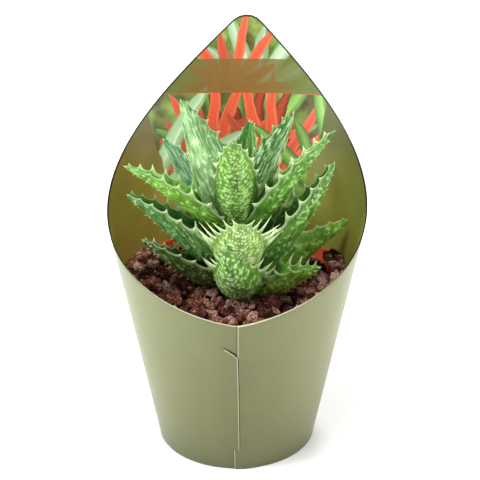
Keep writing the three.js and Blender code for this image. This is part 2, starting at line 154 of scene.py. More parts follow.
# How finely the meshes are divided: rows for each mm of a leaf, and points once round a piece
LEAF_ROWS = 3.2
LEAF_COLUMNS = 96
PLAIN_LEAF_COLUMNS = 72  # for a leaf whose freckles rise no more than LOW_FRECKLE
LOW_FRECKLE = 0.15
POT_COLUMNS = 128
STEM_COLUMNS = 48
GRIT_COLUMNS = 200

# The photograph's camera; its focal length is in pixels of the 480 px frame
CAMERA_RISE = math.radians(24.2)
CAMERA_DISTANCE = 600.0
CAMERA_TARGET = (1.58, 0.0, 101.4)
FOCAL_PIXELS = 1283.0
FRAME_PIXELS = 480.0
SENSOR = 36.0
FLOOR_SIZE = 6000.0  # length of the floor's sides


# Small tools

def smooth(value, low, high):
    """Smoothstep: 0 below low, 1 above high, and an S-curve between."""
    t = np.clip((value - low) / (high - low), 0, 1)
    return t * t * (3 - 2 * t)


def mix(a, b, t):
    """A straight mix: a where t is 0 and b where it is 1."""
    return a + (b - a) * t


def chance(a, b):
    """A repeatable draw between 0 and 1 for two numbers, or for two arrays of them."""
    value = np.sin(a * 12.9898 + b * 78.233) * 43758.5453
    return value - np.floor(value)


def linear(colour):
    """A #rrggbb sRGB colour as linear red, green and blue."""
    parts = np.array([int(colour[i:i + 2], 16) for i in (1, 3, 5)]) / 255
    return np.where(parts <= 0.04045, parts / 12.92, ((parts + 0.055) / 1.055) ** 2.4)


def rgba(colour):
    """A #rrggbb colour as the four numbers of a socket."""
    return (*linear(colour).tolist(), 1.0)


def unit(vector):
    """Vectors brought to length 1."""
    return vector / np.linalg.norm(vector, axis=-1, keepdims=True)


def around(count):
    """Evenly spread angles of one turn."""
    return 2 * math.pi * np.arange(count) / count


def polar(r, a, z):
    """Points at a radius, a compass angle from the front and a height."""
    return np.stack(np.broadcast_arrays(r * np.sin(a), -r * np.cos(a), z), -1)


def waves(points, size, seed):
    """Rolling noise of about -1 to 1 at points in mm: eight sine waves of about size mm in drawn
    directions, added up."""
    draw = np.random.default_rng(seed)
    total = np.zeros(points.shape[:-1])
    for _ in range(8):
        direction = draw.normal(size=3)
        direction *= 2 * math.pi / size * draw.uniform(0.7, 1.4) / np.linalg.norm(direction)
        total += np.sin(points @ direction + draw.uniform(0, 2 * math.pi))
    return total / 3


def strip(value, start, full, fade, end):
    """1 between full and fade, and 0 before start and after end."""
    return smooth(value, start, full) * (1 - smooth(value, fade, end))


def crowded(start, end, places, reach, extra, count):
    """count values from start to end, which stand closer within reach of the places: there they
    are up to 1 + extra times as many."""
    fine = np.linspace(start, end, 4000)
    gap = np.abs(fine[:, None] - np.asarray(places)[None]).min(1)
    weight = 1 + extra * np.exp(-(gap / reach) ** 2)
    total = np.concatenate([[0], np.cumsum((weight[1:] + weight[:-1]) / 2)])
    return np.interp(np.linspace(0, total[-1], count), total, fine)


# Meshes: a skin is points, quads, triangles and the values of its marks at each point

Skin = namedtuple("Skin", "points quads triangles marks")


def grid_quads(rows, columns, wrap_rows=False):
    """The numbers of a grid's points, with the first column and, if wanted, the first row again at
    the end, and its quads."""
    number = np.arange(rows * columns).reshape(rows, columns)
    if wrap_rows:
        number = np.vstack([number, number[:1]])
    number = np.hstack([number, number[:, :1]])
    quads = np.stack([number[:-1, :-1], number[:-1, 1:], number[1:, 1:], number[1:, :-1]], -1)
    return number, quads.reshape(-1, 4)


def grid_skin(grid, marks=None, wrap_rows=False, poles=(None, None)):
    """A skin over a grid of points (rows, columns, 3). It faces along the cross product of a step
    to the next column and a step to the next row. A pole is a point that closes the first or the
    last row with a fan."""
    rows, columns = grid.shape[:2]
    number, quads = grid_quads(rows, columns, wrap_rows)
    points = [grid.reshape(-1, 3)]
    values = {name: [value.reshape(rows * columns, -1)] for name, value in (marks or {}).items()}
    triangles = [np.zeros((0, 3), int)]
    for end, pole in enumerate(poles):
        if pole is None:
            continue
        here, following = number[-end, :-1], number[-end, 1:]
        tip = np.full(len(here), sum(len(p) for p in points))
        triangles.append(np.stack([here, following, tip] if end else [following, here, tip], -1))
        points.append(np.reshape(pole, (1, 3)))
        for value in values.values():
            value.append(value[0][here].mean(0, keepdims=True))
    return Skin(np.concatenate(points), quads, np.concatenate(triangles),
                {name: np.concatenate(value) for name, value in values.items()})


def joined(skins):
    """Several skins as one. They share no points, and a mark that a skin lacks is 0 on it."""
    starts = np.cumsum([0] + [len(s.points) for s in skins[:-1]])
    marks = {}
    for name, value in skins[0].marks.items():
        width = value.shape[1]
        marks[name] = np.concatenate([
            np.broadcast_to(s.marks.get(name, 0.0), (len(s.points), width)) for s in skins])
    return Skin(np.concatenate([s.points for s in skins]),
                np.concatenate([s.quads + n for s, n in zip(skins, starts)]),
                np.concatenate([s.triangles + n for s, n in zip(skins, starts)]), marks)


def make_object(name, skin, materials, faces=None):
    """A Blender object from a skin. faces gives each face's material number, quads first."""
    mesh = bpy.data.meshes.new(name)
    corners = np.concatenate([skin.quads.ravel(), skin.triangles.ravel()])
    sizes = np.concatenate([np.full(len(skin.quads), 4), np.full(len(skin.triangles), 3)])
    mesh.vertices.add(len(skin.points))
    mesh.vertices.foreach_set("co", (skin.points / 1000).astype(np.float32).ravel())
    mesh.loops.add(len(corners))
    mesh.loops.foreach_set("vertex_index", corners.astype(np.int32))
    mesh.polygons.add(len(sizes))
    mesh.polygons.foreach_set("loop_start", (np.cumsum(sizes) - sizes).astype(np.int32))
    for material in materials:
        mesh.materials.append(material)
    if faces is not None:
        mesh.polygons.foreach_set("material_index", faces.astype(np.int32))
    mesh.update(calc_edges=True)
    mesh.validate()
    mesh.shade_smooth()
    for mark, value in skin.marks.items():
        if value.shape[1] == 1:
            layer = mesh.attributes.new(mark, "FLOAT", "POINT")
            layer.data.foreach_set("value", value.ravel())
        else:
            layer = mesh.attributes.new(mark, "FLOAT_COLOR", "POINT")
            colour = np.concatenate([value, np.ones((len(value), 1))], 1)
            layer.data.foreach_set("color", colour.ravel())
    made = bpy.data.objects.new(name, mesh)
    bpy.context.scene.collection.objects.link(made)
    return made


def place(piece, node):
    """The piece rides on the only body and stands in for its node, whose part is hidden."""
    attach(piece, "root")
    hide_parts(node)


# Finishes

def start_material(name, **constants):
    """A new material with a principled shader whose constant sockets are set."""
    material = bpy.data.materials.new(name)
    material.use_nodes = True
    shader = material.node_tree.nodes["Principled BSDF"]
    for key, value in constants.items():
        shader.inputs[key.replace("_", " ")].default_value = value
    return material, material.node_tree, shader


def add(tree, kind, inputs=(), stops=(), **settings):
    """Adds a shader node. inputs maps a socket's name or number to a value, to a #rrggbb colour or
    to an output to link. settings are the node's own, and stops are a colour ramp's places and
    colours. A new ramp already has its first and last stop."""
    made = tree.nodes.new("ShaderNode" + kind)
    for name, value in settings.items():
        setattr(made, name, value)
    for key, value in dict(inputs).items():
        if isinstance(value, bpy.types.NodeSocket):
            tree.links.new(value, made.inputs[key])
        else:
            made.inputs[key].default_value = rgba(value) if isinstance(value, str) else value
    for i, (at, colour) in enumerate([*stops[:1], *stops[-1:], *stops[1:-1]]):
        ramp = made.color_ramp.elements
        stop = ramp[i] if i < 2 else ramp.new(at)
        stop.position = at
        stop.color = rgba(colour)
    return made


def aloe_skin():
    """Aloe leaf: a waxy cuticle over watery green flesh. The wax gives broad soft highlights, a
    little light goes through the thin teeth, and pale raised freckles and flecks lie on the green,
    which is darkest between them."""
    material, tree, shader = start_material(
        "aloe_leaf_cuticle", IOR=1.42, Subsurface_Weight=0.12,
        Subsurface_Radius=(0.6, 1.0, 0.25), Subsurface_Scale=0.0012)
    where = add(tree, "TexCoord").outputs["Object"]
    green = add(tree, "Attribute", attribute_name="green").outputs["Color"]
    freckle = add(tree, "Attribute", attribute_name="freckle").outputs["Fac"]
    margin = add(tree, "Attribute", attribute_name="margin").outputs["Fac"]
    flecked = add(tree, "Attribute", attribute_name="flecked").outputs["Fac"]
    grain = add(tree, "Attribute", attribute_name="grain").outputs["Vector"]
    # clouds of green 5 mm wide, veins 0.8 mm apart along the leaf, and cells of 0.4 mm
    clouds = add(tree, "TexNoise", {"Vector": where, "Scale": 200.0, "Detail": 4.0}).outputs["Fac"]
    drawn_out = add(tree, "VectorMath", {0: grain, 1: (1.25, 0.16, 1.0)},
                    operation="MULTIPLY").outputs[0]
    veins = add(tree, "TexNoise", {"Vector": drawn_out, "Scale": 1.0, "Detail": 3.0}).outputs["Fac"]
    cells = add(tree, "TexNoise", {"Vector": where, "Scale": 2500.0, "Detail": 3.0}).outputs["Fac"]
    light = add(tree, "Math", {0: clouds, 1: 0.8, 2: veins}, operation="MULTIPLY_ADD").outputs[0]
    light = add(tree, "MapRange", {"Value": light, "From Min": 0.62, "From Max": 1.18,
                                   "To Min": 0.45, "To Max": 1.35}).outputs[0]
    between = add(tree, "MapRange", {"Value": freckle, "From Min": -0.9, "From Max": -0.1,
                                     "To Min": 0.72, "To Max": 1.05}).outputs[0]
    light = add(tree, "Math", {0: light, 1: between}, operation="MULTIPLY").outputs[0]
    body = add(tree, "VectorMath", {0: green, "Scale": light}, operation="SCALE").outputs[0]
    # flecks about 1 mm wide and 2.5 mm long with frayed edges, some large and some left out
    frayed = add(tree, "TexNoise", {"Vector": where, "Scale": 900.0, "Detail": 2.0}).outputs["Color"]
    frayed = add(tree, "VectorMath", {0: frayed, 1: (1.1, 0.9, 0.0), 2: grain},
                 operation="MULTIPLY_ADD").outputs[0]
    frayed = add(tree, "VectorMath", {0: frayed, 1: (0.72, 0.36, 1.0)},
                 operation="MULTIPLY").outputs[0]
    spots = add(tree, "TexVoronoi", {"Vector": frayed, "Scale": 1.0})
    draw = add(tree, "SeparateColor", {0: spots.outputs["Color"]}).outputs[0]
    reach = add(tree, "Math", {0: draw, 1: 0.42, 2: spots.outputs["Distance"]},
                operation="MULTIPLY_ADD").outputs[0]
    fleck = add(tree, "MapRange", {"Value": reach, "From Min": 0.52, "From Max": 0.34,
                                   "To Max": 0.9}, interpolation_type="SMOOTHSTEP").outputs[0]
    streak = add(tree, "MapRange", {"Value": veins, "From Min": 0.51, "From Max": 0.58,
                                    "To Max": 0.95}, interpolation_type="SMOOTHSTEP").outputs[0]
    # a whiter leaf has stronger streaks and weaker flecks
    white = add(tree, "Attribute", attribute_name="white").outputs["Fac"]
    drawn = add(tree, "MapRange", {"Value": white, "From Min": 0.5, "From Max": 0.9,
                                   "To Min": 0.3}).outputs[0]
    streak = add(tree, "Math", {0: streak, 1: drawn}, operation="MULTIPLY").outputs[0]
    rest = add(tree, "MapRange", {"Value": white, "From Min": 0.5, "From Max": 0.9,
                                  "To Min": 1.0, "To Max": 0.35}).outputs[0]
    fleck = add(tree, "Math", {0: fleck, 1: rest}, operation="MULTIPLY").outputs[0]
    fleck = add(tree, "Math", {0: fleck, 1: streak}, operation="MAXIMUM").outputs[0]
    fleck = add(tree, "Math", {0: fleck, 1: flecked}, operation="MULTIPLY").outputs[0]
    ragged = add(tree, "Math", {0: cells, 1: 0.6, 2: freckle}, operation="MULTIPLY_ADD").outputs[0]
    spotted = add(tree, "MapRange", {"Value": ragged, "From Min": 0.26, "From Max": 0.6,
                                     "To Max": 0.8}, interpolation_type="SMOOTHSTEP").outputs[0]
    spotted = add(tree, "Math", {0: spotted, 1: fleck}, operation="MAXIMUM").outputs[0]
    pale = add(tree, "VectorMath", {0: green, "Scale": 1.8}, operation="SCALE").outputs[0]
    pale = add(tree, "MixRGB", {"Fac": white, "Color1": pale, "Color2": "#d9e8c4"}).outputs[0]
    powder = add(tree, "MapRange", {"Value": cells, "To Min": 0.75, "To Max": 1.3}).outputs[0]
    pale = add(tree, "VectorMath", {0: pale, "Scale": powder}, operation="SCALE").outputs[0]
    body = add(tree, "MixRGB", {"Fac": spotted, "Color1": body, "Color2": pale}).outputs[0]
    body = add(tree, "MixRGB", {"Fac": margin, "Color1": body, "Color2": "#cfe2ac"}).outputs[0]
    tree.links.new(body, shader.inputs["Base Color"])
    gloss = add(tree, "MapRange", {"Value": cells, "To Min": 0.26, "To Max": 0.46}).outputs[0]
    tree.links.new(gloss, shader.inputs["Roughness"])
    height = add(tree, "Math", {0: fleck, 1: 0.6, 2: cells}, operation="MULTIPLY_ADD").outputs[0]
    bump = add(tree, "Bump", {"Height": height, "Strength": 0.4, "Distance": 0.0003}).outputs[0]
    tree.links.new(bump, shader.inputs["Normal"])
    return material


def lava_rock():
    """Crushed lava: red-brown, dull and full of gas pores, with painted shade darkening its pits and
    pores, dusty light grains and no gloss."""
    material, tree, shader = start_material(
        "lava_rock_crushed", Specular_IOR_Level=0.25, Roughness=0.92)
    where = add(tree, "TexCoord").outputs["Object"]
    tint = add(tree, "Attribute", attribute_name="tint").outputs["Fac"]
    pit_and_shade = add(tree, "Attribute", attribute_name="pit_and_shade").outputs["Fac"]
    # stains 4 mm wide, grains of 0.6 mm and pores 0.9 mm apart
    stains = add(tree, "TexNoise", {"Vector": where, "Scale": 260.0, "Detail": 4.0}).outputs["Fac"]
    grains = add(tree, "TexNoise", {"Vector": where, "Scale": 1700.0, "Detail": 4.0,
                                    "Roughness": 0.65}).outputs["Fac"]
    pores = add(tree, "TexVoronoi", {"Vector": where, "Scale": 1100.0}).outputs["Distance"]
    value = add(tree, "Math", {0: stains, 1: 0.7, 2: grains}, operation="MULTIPLY_ADD").outputs[0]
    value = add(tree, "Math", {0: tint, 1: 0.45, 2: value}, operation="MULTIPLY_ADD").outputs[0]
    value = add(tree, "MapRange", {"Value": value, "From Min": 0.78, "From Max": 1.36}).outputs[0]
    colour = add(tree, "ValToRGB", {"Fac": value}, stops=[
        (0.0, "#2a0f0a"), (0.35, "#5c2a20"), (0.5, "#8a4f41"), (0.7, "#b07c6a"),
        (1.0, "#dcb9a6")]).outputs[0]
    # painted shade: the pores and the dented pits are darkened
    holes = add(tree, "MapRange", {"Value": pores, "From Min": 0.12, "From Max": 0.4,
                                   "To Min": 0.2, "To Max": 1.0}).outputs[0]
    shade = add(tree, "MapRange", {"Value": pit_and_shade, "To Min": 1.0, "To Max": 0.35}).outputs[0]
    shade = add(tree, "Math", {0: shade, 1: holes}, operation="MULTIPLY").outputs[0]
    colour = add(tree, "VectorMath", {0: colour, "Scale": shade}, operation="SCALE").outputs[0]
    tree.links.new(colour, shader.inputs["Base Color"])
    rough = add(tree, "Math", {0: grains, 1: holes}, operation="ADD").outputs[0]
    bump = add(tree, "Bump", {"Height": rough, "Strength": 1.0, "Distance": 0.0011}).outputs[0]
    tree.links.new(bump, shader.inputs["Normal"])
    return material


def potting_mix():
    """Peat and bark: nearly black, fibrous and dull."""
    material, tree, shader = start_material("peat_and_bark", Specular_IOR_Level=0.2, Roughness=0.95)
    where = add(tree, "TexCoord").outputs["Object"]
    crumbs = add(tree, "TexNoise", {"Vector": where, "Scale": 500.0, "Detail": 6.0}).outputs["Fac"]
    colour = add(tree, "ValToRGB", {"Fac": crumbs}, stops=[
        (0.3, "#1d130c"), (0.5, "#33231a"), (0.7, "#5a4230")]).outputs[0]
    tree.links.new(colour, shader.inputs["Base Color"])
    bump = add(tree, "Bump", {"Height": crumbs, "Strength": 1.0, "Distance": 0.0008}).outputs[0]
    tree.links.new(bump, shader.inputs["Normal"])
    return material


def aloe_stem():
    """Young aloe stem: pale green with dry brown rings where old leaves came off."""
    material, tree, shader = start_material("aloe_stem_skin", Roughness=0.6)
    scar = add(tree, "Attribute", attribute_name="scar").outputs["Fac"]
    colour = add(tree, "MixRGB", {"Fac": scar, "Color1": "#8a9a55",
                                  "Color2": "#6a5236"}).outputs[0]
    tree.links.new(colour, shader.inputs["Base Color"])
    return material


def moulded_polypropylene():
    """Thin injection-moulded polypropylene in terracotta orange: waxy half gloss, a faint mottle
    and a very fine grain from the mould."""
    material, tree, shader = start_material("polypropylene_moulded", IOR=1.49)
    where = add(tree, "TexCoord").outputs["Object"]
    mottle = add(tree, "TexNoise", {"Vector": where, "Scale": 150.0, "Detail": 5.0}).outputs["Fac"]
    colour = add(tree, "ValToRGB", {"Fac": mottle}, stops=[
        (0.3, "#a83c1c"), (0.55, "#c94e29"), (0.75, "#d9603a")]).outputs[0]
    tree.links.new(colour, shader.inputs["Base Color"])
    gloss = add(tree, "MapRange", {"Value": mottle, "To Min": 0.3, "To Max": 0.55}).outputs[0]
    tree.links.new(gloss, shader.inputs["Roughness"])
    grain = add(tree, "TexNoise", {"Vector": where, "Scale": 3000.0, "Detail": 2.0}).outputs["Fac"]
    bump = add(tree, "Bump", {"Height": grain, "Strength": 0.15, "Distance": 0.0001}).outputs[0]
    tree.links.new(bump, shader.inputs["Normal"])
    return material


def coated_card():
    """Outside of the sleeve: coated board printed sage green, with painted shade that darkens it
    towards the foot. The coating gives a half gloss that whitens at the sides, and the board's fibres
    mottle it faintly."""
    material, tree, shader = start_material(
        "coated_card_sage", IOR=1.5, Coat_Weight=0.28, Coat_Roughness=0.3)
    where = add(tree, "TexCoord").outputs["Object"]
    height = add(tree, "SeparateXYZ", {0: where}).outputs["Z"]
    # painted shade: the green darkens towards the foot
    rise = add(tree, "MapRange", {"Value": height, "From Max": 0.115}).outputs[0]
    colour = add(tree, "ValToRGB", {"Fac": rise}, stops=[
        (0.0, "#525429"), (0.3, "#61632f"), (0.7, "#6c6f3e"), (1.0, "#71754a")]).outputs[0]
    # clouds 14 mm wide and fibres of 0.9 mm
    clouds = add(tree, "TexNoise", {"Vector": where, "Scale": 70.0, "Detail": 5.0}).outputs["Fac"]
    fibres = add(tree, "TexNoise", {"Vector": where, "Scale": 1100.0, "Detail": 4.0}).outputs["Fac"]
    both = add(tree, "Math", {0: clouds, 1: fibres}, operation="ADD").outputs[0]
    light = add(tree, "MapRange", {"Value": both, "From Min": 0.6, "From Max": 1.4,
                                   "To Min": 0.9, "To Max": 1.1}).outputs[0]
    colour = add(tree, "VectorMath", {0: colour, "Scale": light}, operation="SCALE").outputs[0]
    cut = add(tree, "Attribute", attribute_name="cut").outputs["Fac"]
    gap = add(tree, "Attribute", attribute_name="gap").outputs["Fac"]
    colour = add(tree, "MixRGB", {"Fac": cut, "Color1": colour, "Color2": "#c6c8a8"}).outputs[0]
    # painted shade: the gap mark darkens the groove beside a flap's edge, the slit and the nick
    colour = add(tree, "MixRGB", {"Fac": gap, "Color1": colour, "Color2": "#1d1e10"}).outputs[0]
    tree.links.new(colour, shader.inputs["Base Color"])
    gloss = add(tree, "MapRange", {"Value": clouds, "To Min": 0.36, "To Max": 0.5}).outputs[0]
    tree.links.new(gloss, shader.inputs["Roughness"])
    bump = add(tree, "Bump", {"Height": both, "Strength": 0.12, "Distance": 0.0002}).outputs[0]
    tree.links.new(bump, shader.inputs["Normal"])
    return material


# A picture's fan: where its petals spring from, their number, longest length, widest half width,
# colours from edge to edge and seed
Fan = namedtuple("Fan", "centre petals length width stops seed")
MINT = ((0.0, "#7fa56a"), (0.12, "#a9cb98"), (0.45, "#b9d6ab"), (0.6, "#d3e6c8"), (0.72, "#a3c591"),
        (1.0, "#86ac70"))
LEAF_GREEN = ((0.0, "#46702a"), (0.35, "#7ead4c"), (0.6, "#98c160"), (1.0, "#3a5e22"))
CORAL = ((0.0, "#a83c24"), (0.06, "#e8805e"), (0.16, "#e95f3c"), (0.6, "#e05434"), (0.94, "#ea7350"),
         (1.0, "#9c3520"))
DEEP_RED = ((0.0, "#4f1a0e"), (0.15, "#9c3a22"), (0.6, "#b04029"), (1.0, "#4a180c"))
FANS = [
    Fan((4.0, 118.0), 17, 76.0, 4.4, LEAF_GREEN, 3), Fan((8.0, 108.0), 23, 60.0, 3.6, DEEP_RED, 4),
    Fan((12.0, 155.5), 13, 48.0, 4.2, MINT, 2), Fan((-1.0, 156.0), 15, 42.0, 2.7, CORAL, 4),
    Fan((-10.0, 116.0), 23, 52.0, 3.3, CORAL, 5), Fan((20.0, 112.0), 21, 58.0, 3.0, CORAL, 8),
    Fan((-58.0, 92.0), 17, 84.0, 5.2, MINT, 1), Fan((58.0, 98.0), 19, 74.0, 4.6, LEAF_GREEN, 7),
]
BAND_UP = 163.4  # middle of the see-through band, up the flat sheet
BAND_HALF = 8.4  # half its width
BAND_LINE_UP = 155.2  # the thin line at its lower edge
BAND_LINE_HALF = 0.35


def paint_fan(tree, under, across, up, fan):
    """Paints the upper half of a fan of pointed petals over the colour under it. Each petal takes
    one equal share of the turn round the centre. Its half width is width times the root of
    sin(pi t), where t is the share of its drawn length. Its colour runs from edge to edge through
    the stops, with fine streaks along it."""
    dx = add(tree, "Math", {0: across, 1: fan.centre[0]}, operation="SUBTRACT").outputs[0]
    dy = add(tree, "Math", {0: up, 1: fan.centre[1]}, operation="SUBTRACT").outputs[0]
    turn = add(tree, "Math", {0: dx, 1: dy}, operation="ARCTAN2").outputs[0]
    far = add(tree, "CombineXYZ", {0: dx, 1: dy}).outputs[0]
    far = add(tree, "VectorMath", {0: far}, operation="LENGTH").outputs["Value"]
    share = add(tree, "Math", {0: turn, 1: fan.petals / (2 * math.pi)},
                operation="MULTIPLY").outputs[0]
    share = add(tree, "Math", {0: share, 1: 0.37 * fan.seed}, operation="ADD").outputs[0]
    petal = add(tree, "Math", {0: share}, operation="ROUND").outputs[0]
    draw = add(tree, "TexWhiteNoise", {"W": petal}, noise_dimensions="1D").outputs["Value"]
    aside = add(tree, "Math", {0: share, 1: petal}, operation="SUBTRACT").outputs[0]
    aside = add(tree, "Math", {0: aside, 1: 2 * math.pi / fan.petals},
                operation="MULTIPLY").outputs[0]
    aside = add(tree, "Math", {0: aside, 1: far}, operation="MULTIPLY").outputs[0]
    reach = add(tree, "MapRange", {"Value": draw, "To Min": 0.62 * fan.length,
                                   "To Max": fan.length}).outputs[0]
    t = add(tree, "Math", {0: far, 1: reach}, operation="DIVIDE", use_clamp=True).outputs[0]
    wide = add(tree, "Math", {0: t, 1: math.pi}, operation="MULTIPLY").outputs[0]
    wide = add(tree, "Math", {0: wide}, operation="SINE").outputs[0]
    wide = add(tree, "Math", {0: wide, 1: 0.5}, operation="POWER").outputs[0]
    wide = add(tree, "Math", {0: wide, 1: fan.width, 2: 0.01}, operation="MULTIPLY_ADD").outputs[0]
    side = add(tree, "Math", {0: aside, 1: wide}, operation="DIVIDE").outputs[0]
    lit = add(tree, "MapRange", {"Value": side, "From Min": -1.0}).outputs[0]
    colour = add(tree, "ValToRGB", {"Fac": lit}, stops=fan.stops).outputs[0]
    grain = add(tree, "CombineXYZ", {0: aside, 1: petal}).outputs[0]
    grain = add(tree, "VectorMath", {0: far, 1: (0.0, 0.0, 0.05), 2: grain},
                operation="MULTIPLY_ADD").outputs[0]
    streaks = add(tree, "TexNoise", {"Vector": grain, "Scale": 1.1, "Detail": 3.0}).outputs["Fac"]
    bright = add(tree, "Math", {0: streaks, 1: 1.5, 2: draw}, operation="MULTIPLY_ADD").outputs[0]
    bright = add(tree, "MapRange", {"Value": bright, "From Min": 0.4, "From Max": 2.0,
                                    "To Min": 0.55, "To Max": 1.35}).outputs[0]
    colour = add(tree, "VectorMath", {0: colour, "Scale": bright}, operation="SCALE").outputs[0]
    inside = add(tree, "Math", {0: side}, operation="ABSOLUTE").outputs[0]
    inside = add(tree, "MapRange", {"Value": inside, "From Min": 0.88, "From Max": 1.08,
                                    "To Min": 1.0, "To Max": 0.0}).outputs[0]
    upward = add(tree, "Math", {0: dy, 1: 0.0}, operation="GREATER_THAN").outputs[0]
    inside = add(tree, "Math", {0: inside, 1: upward}, operation="MULTIPLY").outputs[0]
    return add(tree, "MixRGB", {"Fac": inside, "Color1": under, "Color2": colour}).outputs[0]


def printed_card():
    """Inside of the sleeve: the same coated board printed dark olive, with a picture at the back of
    green blades and fans of coral petals, and a see-through olive band across it. Low down the plain
    print is lightened by painted light, and a dark line of painted shade runs along the edge. Places on
    the print are measured on the flat sheet, in mm across and up from its middle line's foot."""
    material, tree, shader = start_material("coated_card_picture", IOR=1.5, Roughness=0.42)
    where = add(tree, "TexCoord").outputs["Object"]
    spot = add(tree, "SeparateXYZ", {0: where})
    height = spot.outputs["Z"]
    lean = math.sin(math.atan(SLEEVE_SLOPE))
    turn = add(tree, "Math", {0: spot.outputs["X"], 1: spot.outputs["Y"]},
               operation="ARCTAN2").outputs[0]
    turn = add(tree, "Math", {0: turn, 1: lean}, operation="MULTIPLY").outputs[0]
    slant = add(tree, "Math", {0: height, 1: 1000 * SLEEVE_SLOPE / lean, 2: SLEEVE_BASE_R / lean},
                operation="MULTIPLY_ADD").outputs[0]
    flat = add(tree, "Math", {0: turn}, operation="SINE").outputs[0]
    flat = add(tree, "Math", {0: flat, 1: slant}, operation="MULTIPLY").outputs[0]
    up = add(tree, "Math", {0: turn}, operation="COSINE").outputs[0]
    up = add(tree, "Math", {0: up, 1: slant, 2: -SLEEVE_BASE_R / lean},
             operation="MULTIPLY_ADD").outputs[0]
    # strokes wander by about 1 mm, and the ground is clouded every 12 mm
    wander = add(tree, "TexNoise", {"Vector": where, "Scale": 60.0, "Detail": 4.0}).outputs["Fac"]
    across = add(tree, "Math", {0: wander, 1: 5.0, 2: flat}, operation="MULTIPLY_ADD").outputs[0]
    clouds = add(tree, "TexNoise", {"Vector": where, "Scale": 85.0, "Detail": 3.0}).outputs["Fac"]
    picture = add(tree, "ValToRGB", {"Fac": clouds}, stops=[
        (0.3, "#4a2c16"), (0.45, "#5d6428"), (0.58, "#7f9440"), (0.72, "#a8b75c")]).outputs[0]
    for fan in FANS:
        picture = paint_fan(tree, picture, across, up, fan)
    # the band, browner in the middle, with a thin line at its lower edge
    band = add(tree, "Math", {0: up, 1: BAND_UP, 2: BAND_HALF}, operation="COMPARE").outputs[0]
    band = add(tree, "Math", {0: band, 1: 0.9}, operation="MULTIPLY").outputs[0]
    sides = add(tree, "Math", {0: flat}, operation="ABSOLUTE").outputs[0]
    sides = add(tree, "MapRange", {"Value": sides, "From Min": 14.0, "From Max": 30.0}).outputs[0]
    tint = add(tree, "MixRGB", {"Fac": sides, "Color1": "#80682c", "Color2": "#68702a"}).outputs[0]
    picture = add(tree, "MixRGB", {"Fac": band, "Color1": picture, "Color2": tint}).outputs[0]
    line = add(tree, "Math", {0: up, 1: BAND_LINE_UP, 2: BAND_LINE_HALF},
               operation="COMPARE").outputs[0]
    picture = add(tree, "MixRGB", {"Fac": line, "Color1": picture, "Color2": "#a8602f"}).outputs[0]
    picture = add(tree, "VectorMath", {0: picture, "Scale": 0.85}, operation="SCALE").outputs[0]
    # the picture is a wedge with wandering edges
    half = add(tree, "Math", {0: up, 1: 0.304, 2: 6.6}, operation="MULTIPLY_ADD").outputs[0]
    off = add(tree, "Math", {0: wander, 1: -6.0, 2: half}, operation="MULTIPLY_ADD").outputs[0]
    flat = add(tree, "Math", {0: flat}, operation="ABSOLUTE").outputs[0]
    off = add(tree, "Math", {0: off, 1: flat}, operation="SUBTRACT").outputs[0]
    off = add(tree, "MapRange", {"Value": off, "From Max": 0.8}).outputs[0]
    # the plain print: browner at the left, with painted light that makes it lighter low down
    side = add(tree, "MapRange", {"Value": spot.outputs["X"], "From Min": -0.05,
                                  "From Max": 0.05}).outputs[0]
    plain = add(tree, "MixRGB", {"Fac": side, "Color1": "#827330", "Color2": "#6c6e2e"}).outputs[0]
    light = add(tree, "MapRange", {"Value": height, "From Min": 0.106, "From Max": 0.136,
                                   "To Min": 1.55, "To Max": 0.5}).outputs[0]
    light = add(tree, "Math", {0: clouds, 1: 0.25, 2: light}, operation="MULTIPLY_ADD").outputs[0]
    plain = add(tree, "VectorMath", {0: plain, "Scale": light}, operation="SCALE").outputs[0]
    colour = add(tree, "MixRGB", {"Fac": off, "Color1": plain, "Color2": picture}).outputs[0]
    # painted shade: a dark line along the inner side of the edge
    rim = add(tree, "Attribute", attribute_name="rim").outputs["Fac"]
    colour = add(tree, "MixRGB", {"Fac": rim, "Color1": colour, "Color2": "#2c3014"}).outputs[0]
    tree.links.new(colour, shader.inputs["Base Color"])
    return material


def board_edge():
    """Cut edge of the board: uncoated fibre, pale low down and nearly black higher up."""
    material, tree, shader = start_material("raw_board_edge", Roughness=0.9, Specular_IOR_Level=0.1)
    where = add(tree, "TexCoord").outputs["Object"]
    height = add(tree, "SeparateXYZ", {0: where}).outputs["Z"]
    tone = add(tree, "MapRange", {"Value": height, "From Min": 0.088, "From Max": 0.102}).outputs[0]
    fibres = add(tree, "TexNoise", {"Vector": where, "Scale": 1500.0}).outputs["Fac"]
    pale = add(tree, "MixRGB", {"Fac": fibres, "Color1": "#a8a68a",
                                "Color2": "#c6c5ae"}).outputs[0]
    colour = add(tree, "MixRGB", {"Fac": tone, "Color1": pale, "Color2": "#1f2110"}).outputs[0]
    tree.links.new(colour, shader.inputs["Base Color"])
    return material


def studio_paper():
    """Seamless background paper: white and matt."""
    return start_material("background_paper", Roughness=0.9, Base_Color=rgba("#f4f4f2"))[0]


# Leaves

def share_along(u, root, tip, power):
    """Width or belly as a share of the largest: a quarter sine from the root's share to full at
    the widest place, then a power curve down to the tip's share."""
    growing = root + (1 - root) * np.sin(np.pi / 2 * np.clip(u / WIDEST, 0, 1))
    past = np.clip((u - WIDEST) / (1 - WIDEST), 0, 1)
    return np.where(u < WIDEST, growing, 1 - (1 - tip) * past ** power)


